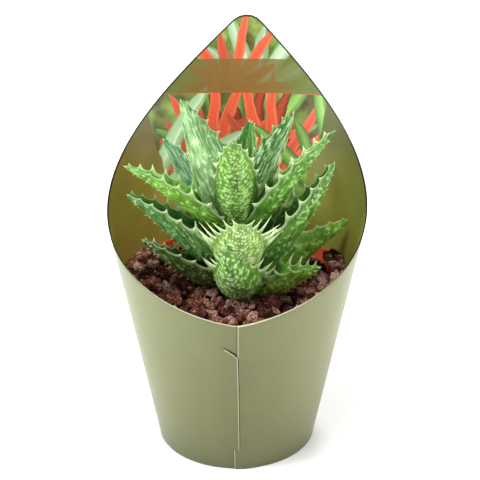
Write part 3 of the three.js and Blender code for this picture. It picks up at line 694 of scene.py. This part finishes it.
def leaf_path(leaf, u):
    """Midline at shares u of the length, with its frame along, across and up. The line climbs at
    rise + curl u degrees and heads for the compass angle + swing u, and the blade is turned about
    it by roll + twist u degrees."""
    def heading(share):
        """Direction of the line at a share of the length."""
        e = np.radians(leaf.rise + leaf.curl * share)
        a = np.radians(leaf.angle + leaf.swing * share)
        return polar(np.cos(e), a, np.sin(e))

    steps = 240
    start = STEM_R * np.clip((STEM_TOP - LEAF_DATUM - leaf.height) / 8, 0.25, 1)
    root = polar(start, math.radians(leaf.angle), LEAF_DATUM + leaf.height)
    middle = heading((np.arange(steps) + 0.5) / steps) * leaf.length / steps
    stops = np.concatenate([root[None], root + np.cumsum(middle, 0)])
    at = np.linspace(0, 1, steps + 1)
    line = np.stack([np.interp(u, at, stops[:, i]) for i in range(3)], -1)
    along = heading(u)
    a = np.radians(leaf.angle + leaf.swing * u)
    level = np.stack([np.cos(a), np.sin(a), 0 * a], -1)
    up = np.cross(along, level)
    roll = np.radians(leaf.roll + leaf.twist * u)[..., None]
    return (line, along, level * np.cos(roll) + up * np.sin(roll),
            up * np.cos(roll) - level * np.sin(roll))


def tooth_row(leaf, number, side):
    """Places, heights and draws from -1 to 1 of the teeth on one margin; the two margins
    alternate."""
    k = np.arange(leaf.teeth)
    q = (k + 0.5 * side + 0.18 * (chance(k + 1, number + 40 * side) - 0.5)) / (leaf.teeth - 0.5)
    u = np.minimum(TIP_START, 0.15 + 0.82 * q * (1.28 - 0.28 * q))
    size = 0.35 + 0.65 * np.clip((1 - u) * 1.3 * leaf.taper, 0, 1)
    size = size * (0.85 + 0.3 * chance(k + 9, number + 20 * side))
    sway = 2 * chance(k + 17, number + 60 * side) - 1
    return u, leaf.tooth * size * np.clip(0.55 + (u - 0.1) * 2.5, 0, 1), sway


def margin_rise(row, u, power):
    """Height of the margin at u and the draw of the nearest tooth: a cusp at each tooth with a
    round bay between, from a power of the nearness to the two teeth on either side."""
    places = np.concatenate([[row[0][0] - 0.13], row[0], [1.02]])
    heights = np.concatenate([[0], row[1], [0]])
    draws = np.concatenate([[0], row[2], [0]])
    j = np.clip(np.searchsorted(places, u, side="right") - 1, 0, len(places) - 2)
    t = np.clip((u - places[j]) / (places[j + 1] - places[j]), 0, 1)
    before = heights[j] * np.clip(1 - 2 * t, 0, 1) ** power
    after = heights[j + 1] * np.clip(2 * t - 1, 0, 1) ** power
    return before + after, np.where(t < 0.5, draws[j], draws[j + 1])


def leaf_size(leaf, u):
    """Half width, belly depth and hollow at u; all three close with a quarter circle at the tip."""
    close = np.sqrt(1 - np.clip((u - TIP_START) / (1 - TIP_START), 0, 1) ** 2)
    wide = share_along(u, 0.62, 0.07, leaf.taper)
    deep = share_along(u, 0.45, 0.12, 1.2)
    hollow = 0.27 * leaf.width * wide ** 0.9 * (0.75 + 0.25 * np.clip(u / 0.3, 0, 1))
    return leaf.width / 2 * wide * close, leaf.belly * deep * close, hollow * close


def leaf_points(leaf, u, s, low, tooth, sway=0.0):
    """The leaf's skin at share u of the length and s of the half width: the upper face is a hollow
    that rises with |s|^1.8, the belly hangs below it by (1 - |s|^full)^0.7, and a tooth turns up
    and hooks towards the tip, each by its own sway more or less. low is 1 on the belly."""
    line, along, across, up = leaf_path(leaf, u)
    half, deep, hollow = leaf_size(leaf, u)
    turn = np.radians(leaf.turn + 13 * sway)
    x = half * s + np.sign(s) * tooth * np.cos(turn)
    y = hollow * np.abs(s) ** 1.8 + tooth * np.sin(turn)
    y = y - low * deep * (1 - np.abs(s) ** leaf.full) ** 0.7
    lean = TOOTH_LEAN * tooth * (0.45 + 0.55 * tooth / leaf.tooth) * (1 + 0.6 * sway)
    return line + across * x[..., None] + up * y[..., None] + along * lean[..., None]


def freckle_field(across, along, number, kind):
    """Freckles on a staggered grid of real spacing, each moved, sized and kept or left out by a
    draw. The field is 1 at a freckle's middle, 0 at its edge and below 0 outside."""
    column = across / kind.across + 0.16 * np.sin(along * 1.3 + number) + 0.1 * np.sin(along * 3.1)
    row = along / kind.along + 0.2 * np.sin(across * 1.1 + 2 * number) + 0.1 * np.sin(across * 2.7)
    best = np.full(across.shape, -1.0)
    for i in (-1, 0, 1):
        for j in (-1, 0, 1):
            line = np.floor(row) + j
            shifted = column + 0.5 * (line % 2)
            cell = np.floor(shifted) + i
            cell_x = cell + 0.5 + 0.5 * (chance(cell + 31, line + 2 * number) - 0.5)
            cell_y = line + 0.5 + 0.5 * (chance(cell + 57, line + 3 * number) - 0.5)
            size = kind.size * (0.55 + 0.75 * chance(cell + 5, line + 5 * number))
            kept = chance(cell + 11, line + 7 * number) < kind.cover
            far = np.hypot(shifted - cell_x, row - cell_y) / size
            best = np.maximum(best, np.where(kept, 1 - far, -1))
    return best


def spike(foot, axis, length, radius):
    """A prickle: a six-sided cone on a sunk foot, whose radius falls with (1 - t)^1.3."""
    axis = unit(axis)
    first = unit(np.cross(axis, [0.31, 0.47, 0.83]))
    second = np.cross(axis, first)
    t = np.array([0.0, 0.35, 0.7])[:, None, None]
    a = around(6)[:, None]
    ring = (np.cos(a) * first + np.sin(a) * second) * radius * (1 - t) ** 1.3
    return grid_skin(foot + axis * length * t + ring, poles=(foot, foot + axis * length))


def keel_prickles(leaf, number):
    """Prickles along the keel towards the tip, few on a streaked leaf, and one at the very tip."""
    count = round(leaf.length / (22 if leaf.freckles is STREAKED else 6))
    k = np.arange(count)
    u = 0.34 + 0.62 * (k + 0.6 * chance(k + 3, number)) / count
    s = 0.12 * (chance(k + 8, number) - 0.5)
    feet = leaf_points(leaf, u, s, 1.0, np.zeros(count))
    _, along, _, up = leaf_path(leaf, u)
    size = 1.1 + 0.8 * chance(k + 4, number)
    found = [spike(feet[i] + 0.25 * up[i], along[i] * 0.7 - up[i], size[i], 0.4) for i in k]
    end, along, _, _ = leaf_path(leaf, np.array([0.99]))
    return found + [spike(end[0] - 0.3 * along[0], along[0], 1.9, 0.42)]


def make_leaf(leaf, number, material):
    """One leaf: a grid of length by turns round the section, dense at the teeth, with its freckles
    raised along the normals, its prickles, and the marks that its finish reads."""
    kind = leaf.freckles
    rows = [tooth_row(leaf, number, side) for side in (0, 1)]
    places = np.concatenate([rows[0][0], rows[1][0]])
    u = crowded(0, 1, places, 0.9 / leaf.length, 2.5, round(leaf.length * LEAF_ROWS))
    tip = TIP_START + (1 - TIP_START) * np.sin(np.linspace(0, 1.45, 6))
    u = np.concatenate([u[u < TIP_START], tip])[:, None]
    columns = LEAF_COLUMNS if kind.rise > LOW_FRECKLE else PLAIN_LEAF_COLUMNS
    turn = 2 * math.pi * crowded(0, 1, [0, 0.5, 1], 0.05, 2.0, columns + 1)[None, :-1]
    s = np.cos(turn)
    low = np.where(np.sin(turn) < 0, 1.0, 0.0)
    edge = np.abs(s)
    # teeth that turn up less are broader
    power = 3.6 if leaf.turn > 50 else 2.4
    right, left = (margin_rise(row, u, power) for row in rows)
    tooth = np.where(s > 0, right[0], left[0]) * edge ** TOOTH_EDGE
    sway = np.where(s > 0, right[1], left[1])
    grid = leaf_points(leaf, np.broadcast_to(u, tooth.shape), s, low, tooth, sway)

    half, deep, _ = leaf_size(leaf, u)
    across = np.where(low > 0, np.arcsin(s) * (half + deep) / 2, 1.1 * s * half)
    along = leaf.length * np.broadcast_to(u, tooth.shape)
    thin = np.where(low > 0, 0, 1 - kind.upper) * 0.9
    field = freckle_field(across, along, number, kind) - thin
    field = field - 1.5 * smooth(edge, 0.86, 0.97) - 1.2 * smooth(u, 0.93, 1.0)
    raised = kind.rise * smooth(field, 0.0, 0.8)
    down = np.gradient(grid, axis=0)
    wrapped = np.concatenate([grid[:, -1:], grid, grid[:, :1]], 1)
    normal = np.cross((wrapped[:, 2:] - wrapped[:, :-2]) / 2, down)
    normal /= np.linalg.norm(normal, axis=-1, keepdims=True) + 1e-9
    grid = grid + normal * raised[..., None]

    belly, channel, root = (linear(c) for c in leaf.greens)
    upper = ((1 - low) * smooth(1 - edge, 0.02, 0.3))[..., None]
    green = mix(belly, channel, upper)
    # painted shade: towards its base the leaf turns to its root green, darkened to 0.85
    green = mix(root * 0.85, green, smooth(u, 0.0, 0.4)[..., None])
    green = green * mix(0.9, 1.12, chance(number, 5))
    line = smooth(edge, 0.955, 0.99) * smooth(u, 0.03, 0.12)
    margin = np.maximum(0.6 * line, smooth(tooth / leaf.tooth, 0.12, 0.5))
    grain = np.stack([across, along, np.full(along.shape, 7.0 * number)], -1)
    flecked = kind.flecks * mix(1 - 0.6 * smooth(1 - edge, 0.05, 0.3), 1, low)
    flecked = flecked * (1 - smooth(edge, 0.93, 0.985)) * mix(1, 0.6, smooth(u, 0.5, 1))
    marks = {"green": green, "freckle": np.clip(field, -1, 1), "margin": margin, "grain": grain,
             "flecked": flecked, "white": np.full(along.shape, kind.white)}
    tip_pole = leaf_path(leaf, np.array([1.0]))[0][0]
    skins = [grid_skin(grid, marks, poles=(grid[0].mean(0), tip_pole))]
    tip_marks = {"green": green[-1, 0], "margin": 0.85, "white": kind.white}
    skins += [prickle._replace(marks=tip_marks) for prickle in keel_prickles(leaf, number)]
    name = f"leaf_{number:02d}"
    place(make_object(name, joined(skins), [material]), name)


# Pot, stem and grit

def turned(profile, columns, marks=None, poles=(None, None)):
    """A profile of [radius, height] turned about the axis, from the front towards +X."""
    profile = np.asarray(profile, float)
    grid = polar(profile[:, :1], around(columns), profile[:, 1:])
    return grid_skin(grid, marks, poles=poles)


def make_stem():
    """The stem: a turned cylinder with a low ring wherever a leaf grew."""
    z = np.linspace(STEM_FOOT, STEM_TOP, 120)
    phase = (z - STEM_FOOT) / RING_PITCH % 1
    r = STEM_R - 0.25 + 0.2 * np.abs(np.sin(math.pi * phase))
    r = r * np.sqrt(np.clip((STEM_TOP + 0.4 - z) / 3, 0, 1))
    scar = np.repeat(smooth(np.abs(phase - 0.5), 0.36, 0.5)[:, None], STEM_COLUMNS, 1)
    skin = turned(np.stack([r, z], 1), STEM_COLUMNS, {"scar": scar},
                  poles=((0, 0, STEM_FOOT), (0, 0, STEM_TOP + 0.3)))
    place(make_object("stem", skin, [aloe_stem()]), "stem")


def pot_wall(foot):
    """The pot's wall and rim band, from its foot up the outside and down the inside."""
    def wall(z):
        """Radius of the wall's outside at a height."""
        return mix(POT_FOOT_R, POT_BODY_TOP_R, z / POT_BODY_TOP)

    outside = [(foot, 0), (POT_FOOT_R - 0.7, 0.05), (wall(0.6) - 0.15, 0.4), (wall(1.0), 1.0)]
    outside += [(wall(z), z) for z in np.linspace(2, POT_BODY_TOP - 1, 8)]
    outside += [(POT_BODY_TOP_R, POT_BODY_TOP)]
    # each place of the rim band is inward from its radius, and up from the body's or the pot's top
    rim = [(POT_RIM_R - inward, base + up) for inward, base, up in (
        (1.9, POT_BODY_TOP, 0.3), (1.5, POT_BODY_TOP, 0.9), (0.1, POT_HEIGHT, -1.2),
        (0.0, POT_HEIGHT, -0.6), (0.3, POT_HEIGHT, -0.1), (0.7, POT_HEIGHT, 0.0),
        (1.1, POT_HEIGHT, -0.2), (1.4, POT_HEIGHT, -0.9), (2.8, POT_BODY_TOP, 2.0),
        (3.2, POT_BODY_TOP, 1.4))]
    inside = [(wall(z) - POT_WALL, z) for z in np.linspace(POT_BODY_TOP, 3, 8)]
    return turned(outside + rim + inside + [(foot, POT_FLOOR)], POT_COLUMNS)


def pot_floor(foot, inner):
    """Skins of the floor. Each drain hole fills one share of a ring from the inner radius to the
    foot's, on points that run from the hole's edge to that share's outline. Two discs close the
    middle."""
    per_side = POT_COLUMNS // DRAIN_HOLES
    step = np.arange(per_side) / per_side
    flat = 0 * step
    # once round one share's outline: inner edge, right edge, outer edge, left edge
    radius = np.concatenate([flat + inner, mix(inner, foot, step), flat + foot, mix(foot, inner, step)])
    turn = np.concatenate([step, flat + 1, 1 - step, flat]) * 2 * math.pi / DRAIN_HOLES
    # once round the hole, from the corner between the inner and the left edge
    about = 1.25 * math.pi - around(4 * per_side)
    skins = []
    for start in around(DRAIN_HOLES):
        outline = polar(radius, start + turn, 0)
        middle = start + math.pi / DRAIN_HOLES
        hole = polar(DRAIN_CIRCLE_R, middle, 0) + polar(DRAIN_HOLE_R, middle + about, 0)
        plate = mix(hole, outline, np.linspace(1, 0, 5)[:, None, None])
        grid = np.concatenate([plate, plate[::-1] + [0, 0, POT_FLOOR]])
        skins.append(grid_skin(grid[:, ::-1]))
    for z, poles in ((0.0, ((0, 0, 0.0), None)), (POT_FLOOR, (None, (0, 0, POT_FLOOR)))):
        skins.append(turned([(inner, z)], POT_COLUMNS, poles=poles))
    return skins


def make_pot():
    """The pot: a turned wall with a rim band, and a floor plate with round drain holes."""
    foot = POT_FOOT_R - 1.4
    skins = [pot_wall(foot)] + pot_floor(foot, 14.0)
    place(make_object("pot", joined(skins), [moulded_polypropylene()]), "pot")


def grit_height(places):
    """Height of the grit: level, a little lower towards the rim, and heaped at the left of it."""
    r = np.hypot(places[..., 0], places[..., 1])
    angle = np.arctan2(places[..., 0], -places[..., 1])
    side = np.exp(-((angle + math.radians(105)) / math.radians(34)) ** 2)
    return GRIT_TOP + 6.5 * side * np.clip((r - 24) / 20, 0, 1) - 1.2 * np.clip((r - 30) / 20, 0, 1)


def sleeve_radius(z):
    """Radius of the sleeve's cone at a height, without the lap."""
    return SLEEVE_BASE_R + SLEEVE_SLOPE * z


def room(z):
    """Radius that stones may reach at a height: the pot's inside, and the sleeve's above its rim."""
    heights = [0, POT_BODY_TOP, POT_BODY_TOP + 2, POT_HEIGHT, POT_HEIGHT + 0.5, 2 * POT_HEIGHT]
    radii = [POT_FOOT_R - 1.5, POT_BODY_TOP_R - 1.5, POT_RIM_R - 3.3, POT_RIM_R - 1.9]
    radii += [sleeve_radius(height) - CARD - 0.3 for height in heights[-2:]]
    return np.interp(z, heights, radii)


def lumps(centre, size, rows, columns, seed):
    """Crushed stones as one skin. Each is a ball whose radius is the soft smallest distance to
    drawn planes, roughened by waves and pitted where drawn pores lie, and kept in the room."""
    draw = np.random.default_rng(seed)
    count = len(size)
    tilt = math.pi * (np.arange(rows)[:, None] + 0.5) / rows
    way = polar(np.sin(tilt), around(columns) + math.pi / 2, -np.cos(tilt)).reshape(-1, 3)
    way = np.vstack([way, [[0, 0, -1], [0, 0, 1]]])
    radius = np.zeros((count, len(way)))
    pit_and_shade = np.zeros((count, len(way)))
    for _ in range(13):
        plane = unit(draw.normal(size=(count, 3)))
        reach = draw.uniform(0.62, 1.0, size=(count, 1))
        radius += np.clip(plane @ way.T / reach, 0, None) ** 9
    radius = np.clip(radius, 0.2, None) ** (-1 / 9)
    for _ in range(16):
        pore = unit(draw.normal(size=(count, 3)))
        wide = draw.uniform(0.12, 0.34, size=(count, 1))
        pit_and_shade = np.maximum(pit_and_shade, smooth(pore @ way.T, np.cos(wide), 1.0))
    reach = size[:, None] * radius
    stretch = draw.uniform(0.82, 1.2, size=(count, 1, 3))
    points = centre[:, None] + way[None] * reach[..., None] * stretch
    rough = 0.10 * waves(points, 2.4, seed + 1) + 0.08 * waves(points, 1.0, seed + 2)
    scale = 1 + rough - 0.16 * pit_and_shade
    points = centre[:, None] + (points - centre[:, None]) * scale[..., None]
    number, quads = grid_quads(rows, columns)
    south = np.full(columns, rows * columns)
    ends = np.concatenate([np.stack([number[0, 1:], number[0, :-1], south], -1),
                           np.stack([number[-1, :-1], number[-1, 1:], south + 1], -1)])
    start = (np.arange(count) * len(way))[:, None, None]
    tint = np.repeat(draw.uniform(0, 1, size=(count, 1)), len(way), 1)
    radius = np.hypot(points[..., 0], points[..., 1])
    points[..., :2] *= np.minimum(1, room(points[..., 2]) / radius)[..., None]
    # the pits' mark dents the stones and also paints shade into the pits
    return Skin(points.reshape(-1, 3), (quads + start).reshape(-1, 4), (ends + start).reshape(-1, 3),
                {"tint": tint.reshape(-1, 1), "pit_and_shade": pit_and_shade.reshape(-1, 1)})


def spiral(count, inner, outer, scatter, seed):
    """Level places spread evenly from an inner to an outer radius by the golden angle, each
    shifted by a draw."""
    index = np.arange(count)
    r = np.sqrt(mix(inner ** 2, outer ** 2, (index + 0.5) / count))
    r = r + scatter * (chance(index + 1, seed) - 0.5)
    return polar(r, index * GOLDEN_ANGLE + 0.25 * (chance(index + 1, seed + 1) - 0.5), 0.0)


def grit_bed():
    """Skin of the rough bed: six rows up its edge, then rows to the middle of its top."""
    edge = [GRIT_EDGE - 4.5, GRIT_EDGE - 3.2] + [GRIT_EDGE - 2.8] * 4
    radii = np.concatenate([edge, np.linspace(GRIT_EDGE - 2.4, 0.5, 70)])[:, None]
    places = polar(radii, around(GRIT_COLUMNS), 0.0)
    z = grit_height(places) - 2.4 + 0.7 * waves(places, 5.0, 11) + 0.4 * waves(places, 2.0, 12)
    z[0] = SOIL_TOP + 0.4
    z[1:6] = np.linspace(SOIL_TOP + 0.5, GRIT_TOP - 3, 5)[:, None]
    places[..., 2] = z
    # painted shade: the bed takes the darkest tint and a strong pits' mark, for the shade in the gaps
    # between the stones
    marks = {"tint": np.full(z.shape, 0.0), "pit_and_shade": np.full(z.shape, 0.7)}
    return grid_skin(places, marks, poles=((0, 0, SOIL_TOP + 0.4), (0, 0, GRIT_TOP - 2)))


def make_grit():
    """The grit: a rough bed with three sizes of crushed stones in and on it, and stones heaped on
    the rim at the left and at the right, with a few more behind the front seam."""
    skins = {"grit_bed": grit_bed()}
    index = np.arange(LARGE_STONES) + 1
    size = mix(3.7, 5.9, chance(index, 3))
    places = spiral(LARGE_STONES, 8.5, 48.0, 2.4, 1)
    places[:, 2] = grit_height(places) - size * mix(0.35, 0.6, chance(index, 4))
    skins["grit_large"] = lumps(places, size, 30, 44, 21)

    for name, count, sizes, detail, seed in (("grit_medium", 190, (1.7, 3.3), (14, 20), 31),
                                             ("grit_small", 520, (0.7, 1.8), (6, 9), 41)):
        index = np.arange(count) + 1
        size = mix(*sizes, chance(index, seed + 2) ** 1.5)
        places = spiral(count, 7.0, 48.6, 3.0, seed)
        places[:, 2] = grit_height(places) - 0.3 * size + mix(-1.0, 1.3, chance(index, seed + 3))
        skins[name] = lumps(places, size, *detail, seed)

    counts = [arc[0] for arc in RIM_STONES]
    turns = [mix(start, end, (np.arange(n) + 1) / n) for n, start, end, _ in RIM_STONES]
    a = np.radians(np.concatenate(turns))
    index = np.arange(len(a)) + 1
    r = mix(47.3, 50.4, index % 2) + 1.2 * (chance(index, 51) - 0.5)
    r = r + np.repeat([arc[3] for arc in RIM_STONES], counts)
    size = mix(1.7, 3.0, chance(index, 52))
    z = POT_HEIGHT + 0.3 * size + mix(-0.4, 0.8, chance(index, 53))
    skins["grit_rim"] = lumps(polar(r, a, z), size, 14, 20, 61)

    rock = lava_rock()
    for name, skin in skins.items():
        place(make_object(name, skin, [rock]), "grit")


# Sleeve

def sleeve_edge(angle):
    """Height of the sleeve's edge at an angle from the front. On the flat sheet the two edges meet
    at a right angle at the peak, which is rounded, and each is a straight line. The peak stands a
    little to the right of the middle, so each side's angles are spread or narrowed to fit."""
    lean = math.sin(math.atan(SLEEVE_SLOPE))
    peak = math.pi - PEAK_TURN
    angle = np.where(angle > peak, angle - 2 * math.pi, angle)
    share = np.where(angle > 0, angle / peak, -angle / (2 * math.pi - peak))
    turn = math.pi * (1 - share) * lean
    centre = PEAK_SLANT - PEAK_ROUNDING * math.sqrt(2)
    straight = PEAK_SLANT / (np.cos(turn) + np.sin(turn))
    across = centre * np.sin(turn)
    rounded = centre * np.cos(turn) + np.sqrt(np.clip(PEAK_ROUNDING ** 2 - across ** 2, 0, None))
    slant = np.where(across < PEAK_ROUNDING * math.sqrt(0.5), rounded, straight)
    return (slant * lean - SLEEVE_BASE_R) / SLEEVE_SLOPE


def seam_lean(side, z):
    """How far the columns near the front turn with the leaning seam, in degrees."""
    seam = mix(SEAM_FOOT, SEAM_TOP, np.clip(z / LOCK_HEIGHT, 0, 1))
    return seam * (1 - smooth(np.abs(side), 2, 24))


def lap(angle, z):
    """How far the outer skin stands off the cone round the seam, with marks for the cut edge and for
    the gap beside it, the slit and the nick, which the gap mark sinks a little and paints with shade.
    Above the lock the right flap is on top, below it the left one, and near the table the right one
    again. Between the upper two, a slit climbs to the left."""
    step = 0.08
    away = np.abs(angle)
    fade_right = 1 - smooth(angle, LAP_FADE * 0.2, LAP_FADE)
    fade_left = 1 - smooth(-angle, LAP_FADE * 0.4, LAP_FADE)
    share = np.clip(angle / LOCK_SLIT, 0, 1)
    slit = LOCK_HEIGHT + LOCK_RISE * share ** 0.85
    soft = np.where(angle < LOCK_SLIT, 0.3 + 12 * smooth(-angle, -LOCK_SLIT, -LOCK_SLIT + 4), 0.3)
    above = smooth((z - slit) / soft, -0.5, 0.5)
    high = smooth(z, LOCK_HEIGHT - 1 - 3 * away, LOCK_HEIGHT + 1 + 3 * away)
    past_foot = np.clip(angle - FOOT_SEAM, 0, 9)
    foot = 1 - smooth(z, FOOT_LOCK_HEIGHT - 0.4 - past_foot, FOOT_LOCK_HEIGHT + 0.4 + past_foot)
    right_top = fade_right * smooth(angle, -step, step) * high
    left_top = fade_left * (1 - smooth(angle, -step, step)) * (1 - above) * (1 - foot)
    right_foot = fade_right * smooth(angle, FOOT_SEAM - step, FOOT_SEAM + step) * foot
    off = LAP_STEP * np.maximum.reduce([right_top, left_top, right_foot])

    from_foot = angle - FOOT_SEAM
    left = (1 - high) * (1 - foot)
    on_slit = (angle > LOCK_SLIT) & (angle < 0.0)
    width = 0.2 + 1.1 * (1 - share)
    # painted shade in the groove beside each flap's edge, in the slit and in the nick
    gap = np.maximum.reduce([
        strip(angle, -0.5, -0.1, -0.1, 0.0) * high,
        strip(angle, 0.0, 0.1, 0.1, 0.5) * left,
        strip(from_foot, -0.5, -0.1, -0.1, 0.0) * foot,
        strip(z, slit - 0.05, slit + 0.08, slit + width, slit + width + 0.25) * on_slit,
        np.exp(-((angle - 0.45) / 0.3) ** 2 - ((z - NICK_HEIGHT) / 0.7) ** 2)])
    cut = np.maximum.reduce([
        strip(angle, -0.05, 0.05, 0.25, 0.4) * high,
        strip(angle, -0.4, -0.25, -0.05, 0.05) * (1 - above) * (1 - foot),
        strip(from_foot, -0.05, 0.05, 0.25, 0.4) * foot,
        strip(z, slit - 0.6, slit - 0.35, slit - 0.15, slit) * on_slit])
    return off - 0.3 * gap, cut, gap


def make_sleeve():
    """The sleeve: one closed sheet on a grid of angle by height, outside up to the edge, over it
    and down the inside."""
    seam_places = np.arange(-6.0, 1.0)
    front = crowded(-20, 20, seam_places, 1.0, 11.0, 160)
    degrees = np.concatenate([front, np.linspace(22, 338, 140)])
    side = (degrees + 180) % 360 - 180
    top = sleeve_edge(np.radians(side + seam_lean(side, LOCK_HEIGHT)))
    level = sleeve_edge(0.0)
    lock_places = np.concatenate([[FOOT_LOCK_HEIGHT], np.arange(LOCK_HEIGHT - 1, LOCK_HEIGHT + 7)])
    shares = crowded(0, 1, lock_places / level, 0.8 / level, 11.0, 190)
    shares = shares[shares < 1]
    near_seam = smooth(45 - np.abs(side), 0, 20)
    # near the seam the rows lie level, and further round they follow the edge
    z = shares[:, None] * mix(top, level, near_seam)[None]
    z = z + shares[:, None] ** 6 * (top - level)[None] * near_seam
    z[-1] = top - 0.25
    off, cut, gap = lap(np.broadcast_to(side, z.shape), z)
    outer_angle = side + seam_lean(side, z)
    outer = sleeve_radius(z) + off
    edge_z = np.stack([top - 0.08, top, top - 0.08, top - 0.25])
    edge_off = off[-1]
    edge_r = sleeve_radius(top) + np.stack([
        edge_off - 0.1, mix(edge_off, -CARD, 0.5), edge_off * 0 - CARD + 0.1, edge_off * 0 - CARD])
    # a dark line of painted shade runs along the edge, so two rows stand close to it
    inner_z = np.linspace(1, 0, 60)[1:, None] * (top - 1.0)[None]
    inner_z = np.concatenate([[top - 0.75, top - 1.0], inner_z])
    r = np.concatenate([outer, edge_r, sleeve_radius(inner_z) - CARD])
    z = np.concatenate([z, edge_z, inner_z])
    blank = np.zeros((len(z) - len(cut), z.shape[1]))
    angle = np.radians(np.concatenate([outer_angle, blank + outer_angle[-1]]))
    row = np.arange(len(z)) - len(cut)
    # painted shade: the line along the inner edge
    rim = np.where((row >= 3) & (row < 5), 1.0, 0.0)
    marks = {"cut": np.concatenate([cut, blank]), "gap": np.concatenate([gap, blank]),
             "rim": np.repeat(rim[:, None], z.shape[1], 1)}
    skin = grid_skin(polar(r, angle, z), marks, wrap_rows=True)
    # outside, inside, and the cut edges between them
    kind = np.where(row < -1, 0, np.where(row < 3, 2, 1))
    kind[-1] = 2
    faces = np.repeat(kind, len(degrees))
    piece = make_object("sleeve", skin, [coated_card(), printed_card(), board_edge()], faces)
    place(piece, "sleeve")


# Studio

def stand(name, data, at, way):
    """A light or a camera at a place, facing a way."""
    made = bpy.data.objects.new(name, data)
    made.location = at
    made.rotation_mode = "QUATERNION"
    made.rotation_quaternion = way.to_track_quat("-Z", "Y")
    bpy.context.scene.collection.objects.link(made)
    return made


def make_studio():
    """Pale floor, soft lights at both sides, above and behind, and light from all round."""
    corners = np.array([[-1, -1, 0], [1, -1, 0], [1, 1, 0], [-1, 1, 0]]) * FLOOR_SIZE / 2
    skin = Skin(corners, np.array([[0, 1, 2, 3]]), np.zeros((0, 3), int), {})
    floor = make_object("floor", skin, [studio_paper()])
    world = bpy.data.worlds.new("studio")
    bpy.context.scene.world = world
    world.use_nodes = True
    background = world.node_tree.nodes["Background"]
    background.inputs["Color"].default_value = (1, 1, 1, 1)
    background.inputs["Strength"].default_value = 0.45
    for name, at, across, power, colour in (
            ("left", (-0.9, -0.14, 0.5), 0.5, 10.4, (0.93, 0.98, 1.0)),
            ("right", (0.9, -0.12, 0.45), 0.5, 7.4, (1.0, 1.0, 1.0)),
            ("top", (-0.12, -0.25, 1.1), 0.35, 9.5, (1.0, 1.0, 0.98)),
            ("behind", (0.0, 1.5, 1.2), 1.0, 22.0, (1.0, 1.0, 1.0))):
        light = bpy.data.lights.new(name, "AREA")
        light.size = across
        light.energy = power
        light.color = colour
        stand(name, light, at, Vector((0, 0, 0.1)) - Vector(at))
    bpy.context.scene.view_settings.view_transform = "Standard"


def make_camera():
    """The camera on the photograph's line of sight."""
    camera = bpy.data.cameras.new("camera")
    camera.sensor_width = SENSOR
    camera.lens = SENSOR * FOCAL_PIXELS / FRAME_PIXELS
    camera.clip_start = 0.01
    camera.clip_end = 20.0
    back = Vector((0, -math.cos(CAMERA_RISE), math.sin(CAMERA_RISE)))
    at = (Vector(CAMERA_TARGET) + back * CAMERA_DISTANCE) / 1000
    bpy.context.scene.camera = stand("camera", camera, at, -back)


make_camera()
make_studio()
leaf_skin = aloe_skin()
for leaf_number, one_leaf in enumerate(LEAVES, 1):
    make_leaf(one_leaf, leaf_number, leaf_skin)
make_stem()
make_pot()
make_grit()
make_sleeve()
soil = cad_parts["soil"]
soil.data.materials.clear()
soil.data.materials.append(potting_mix())
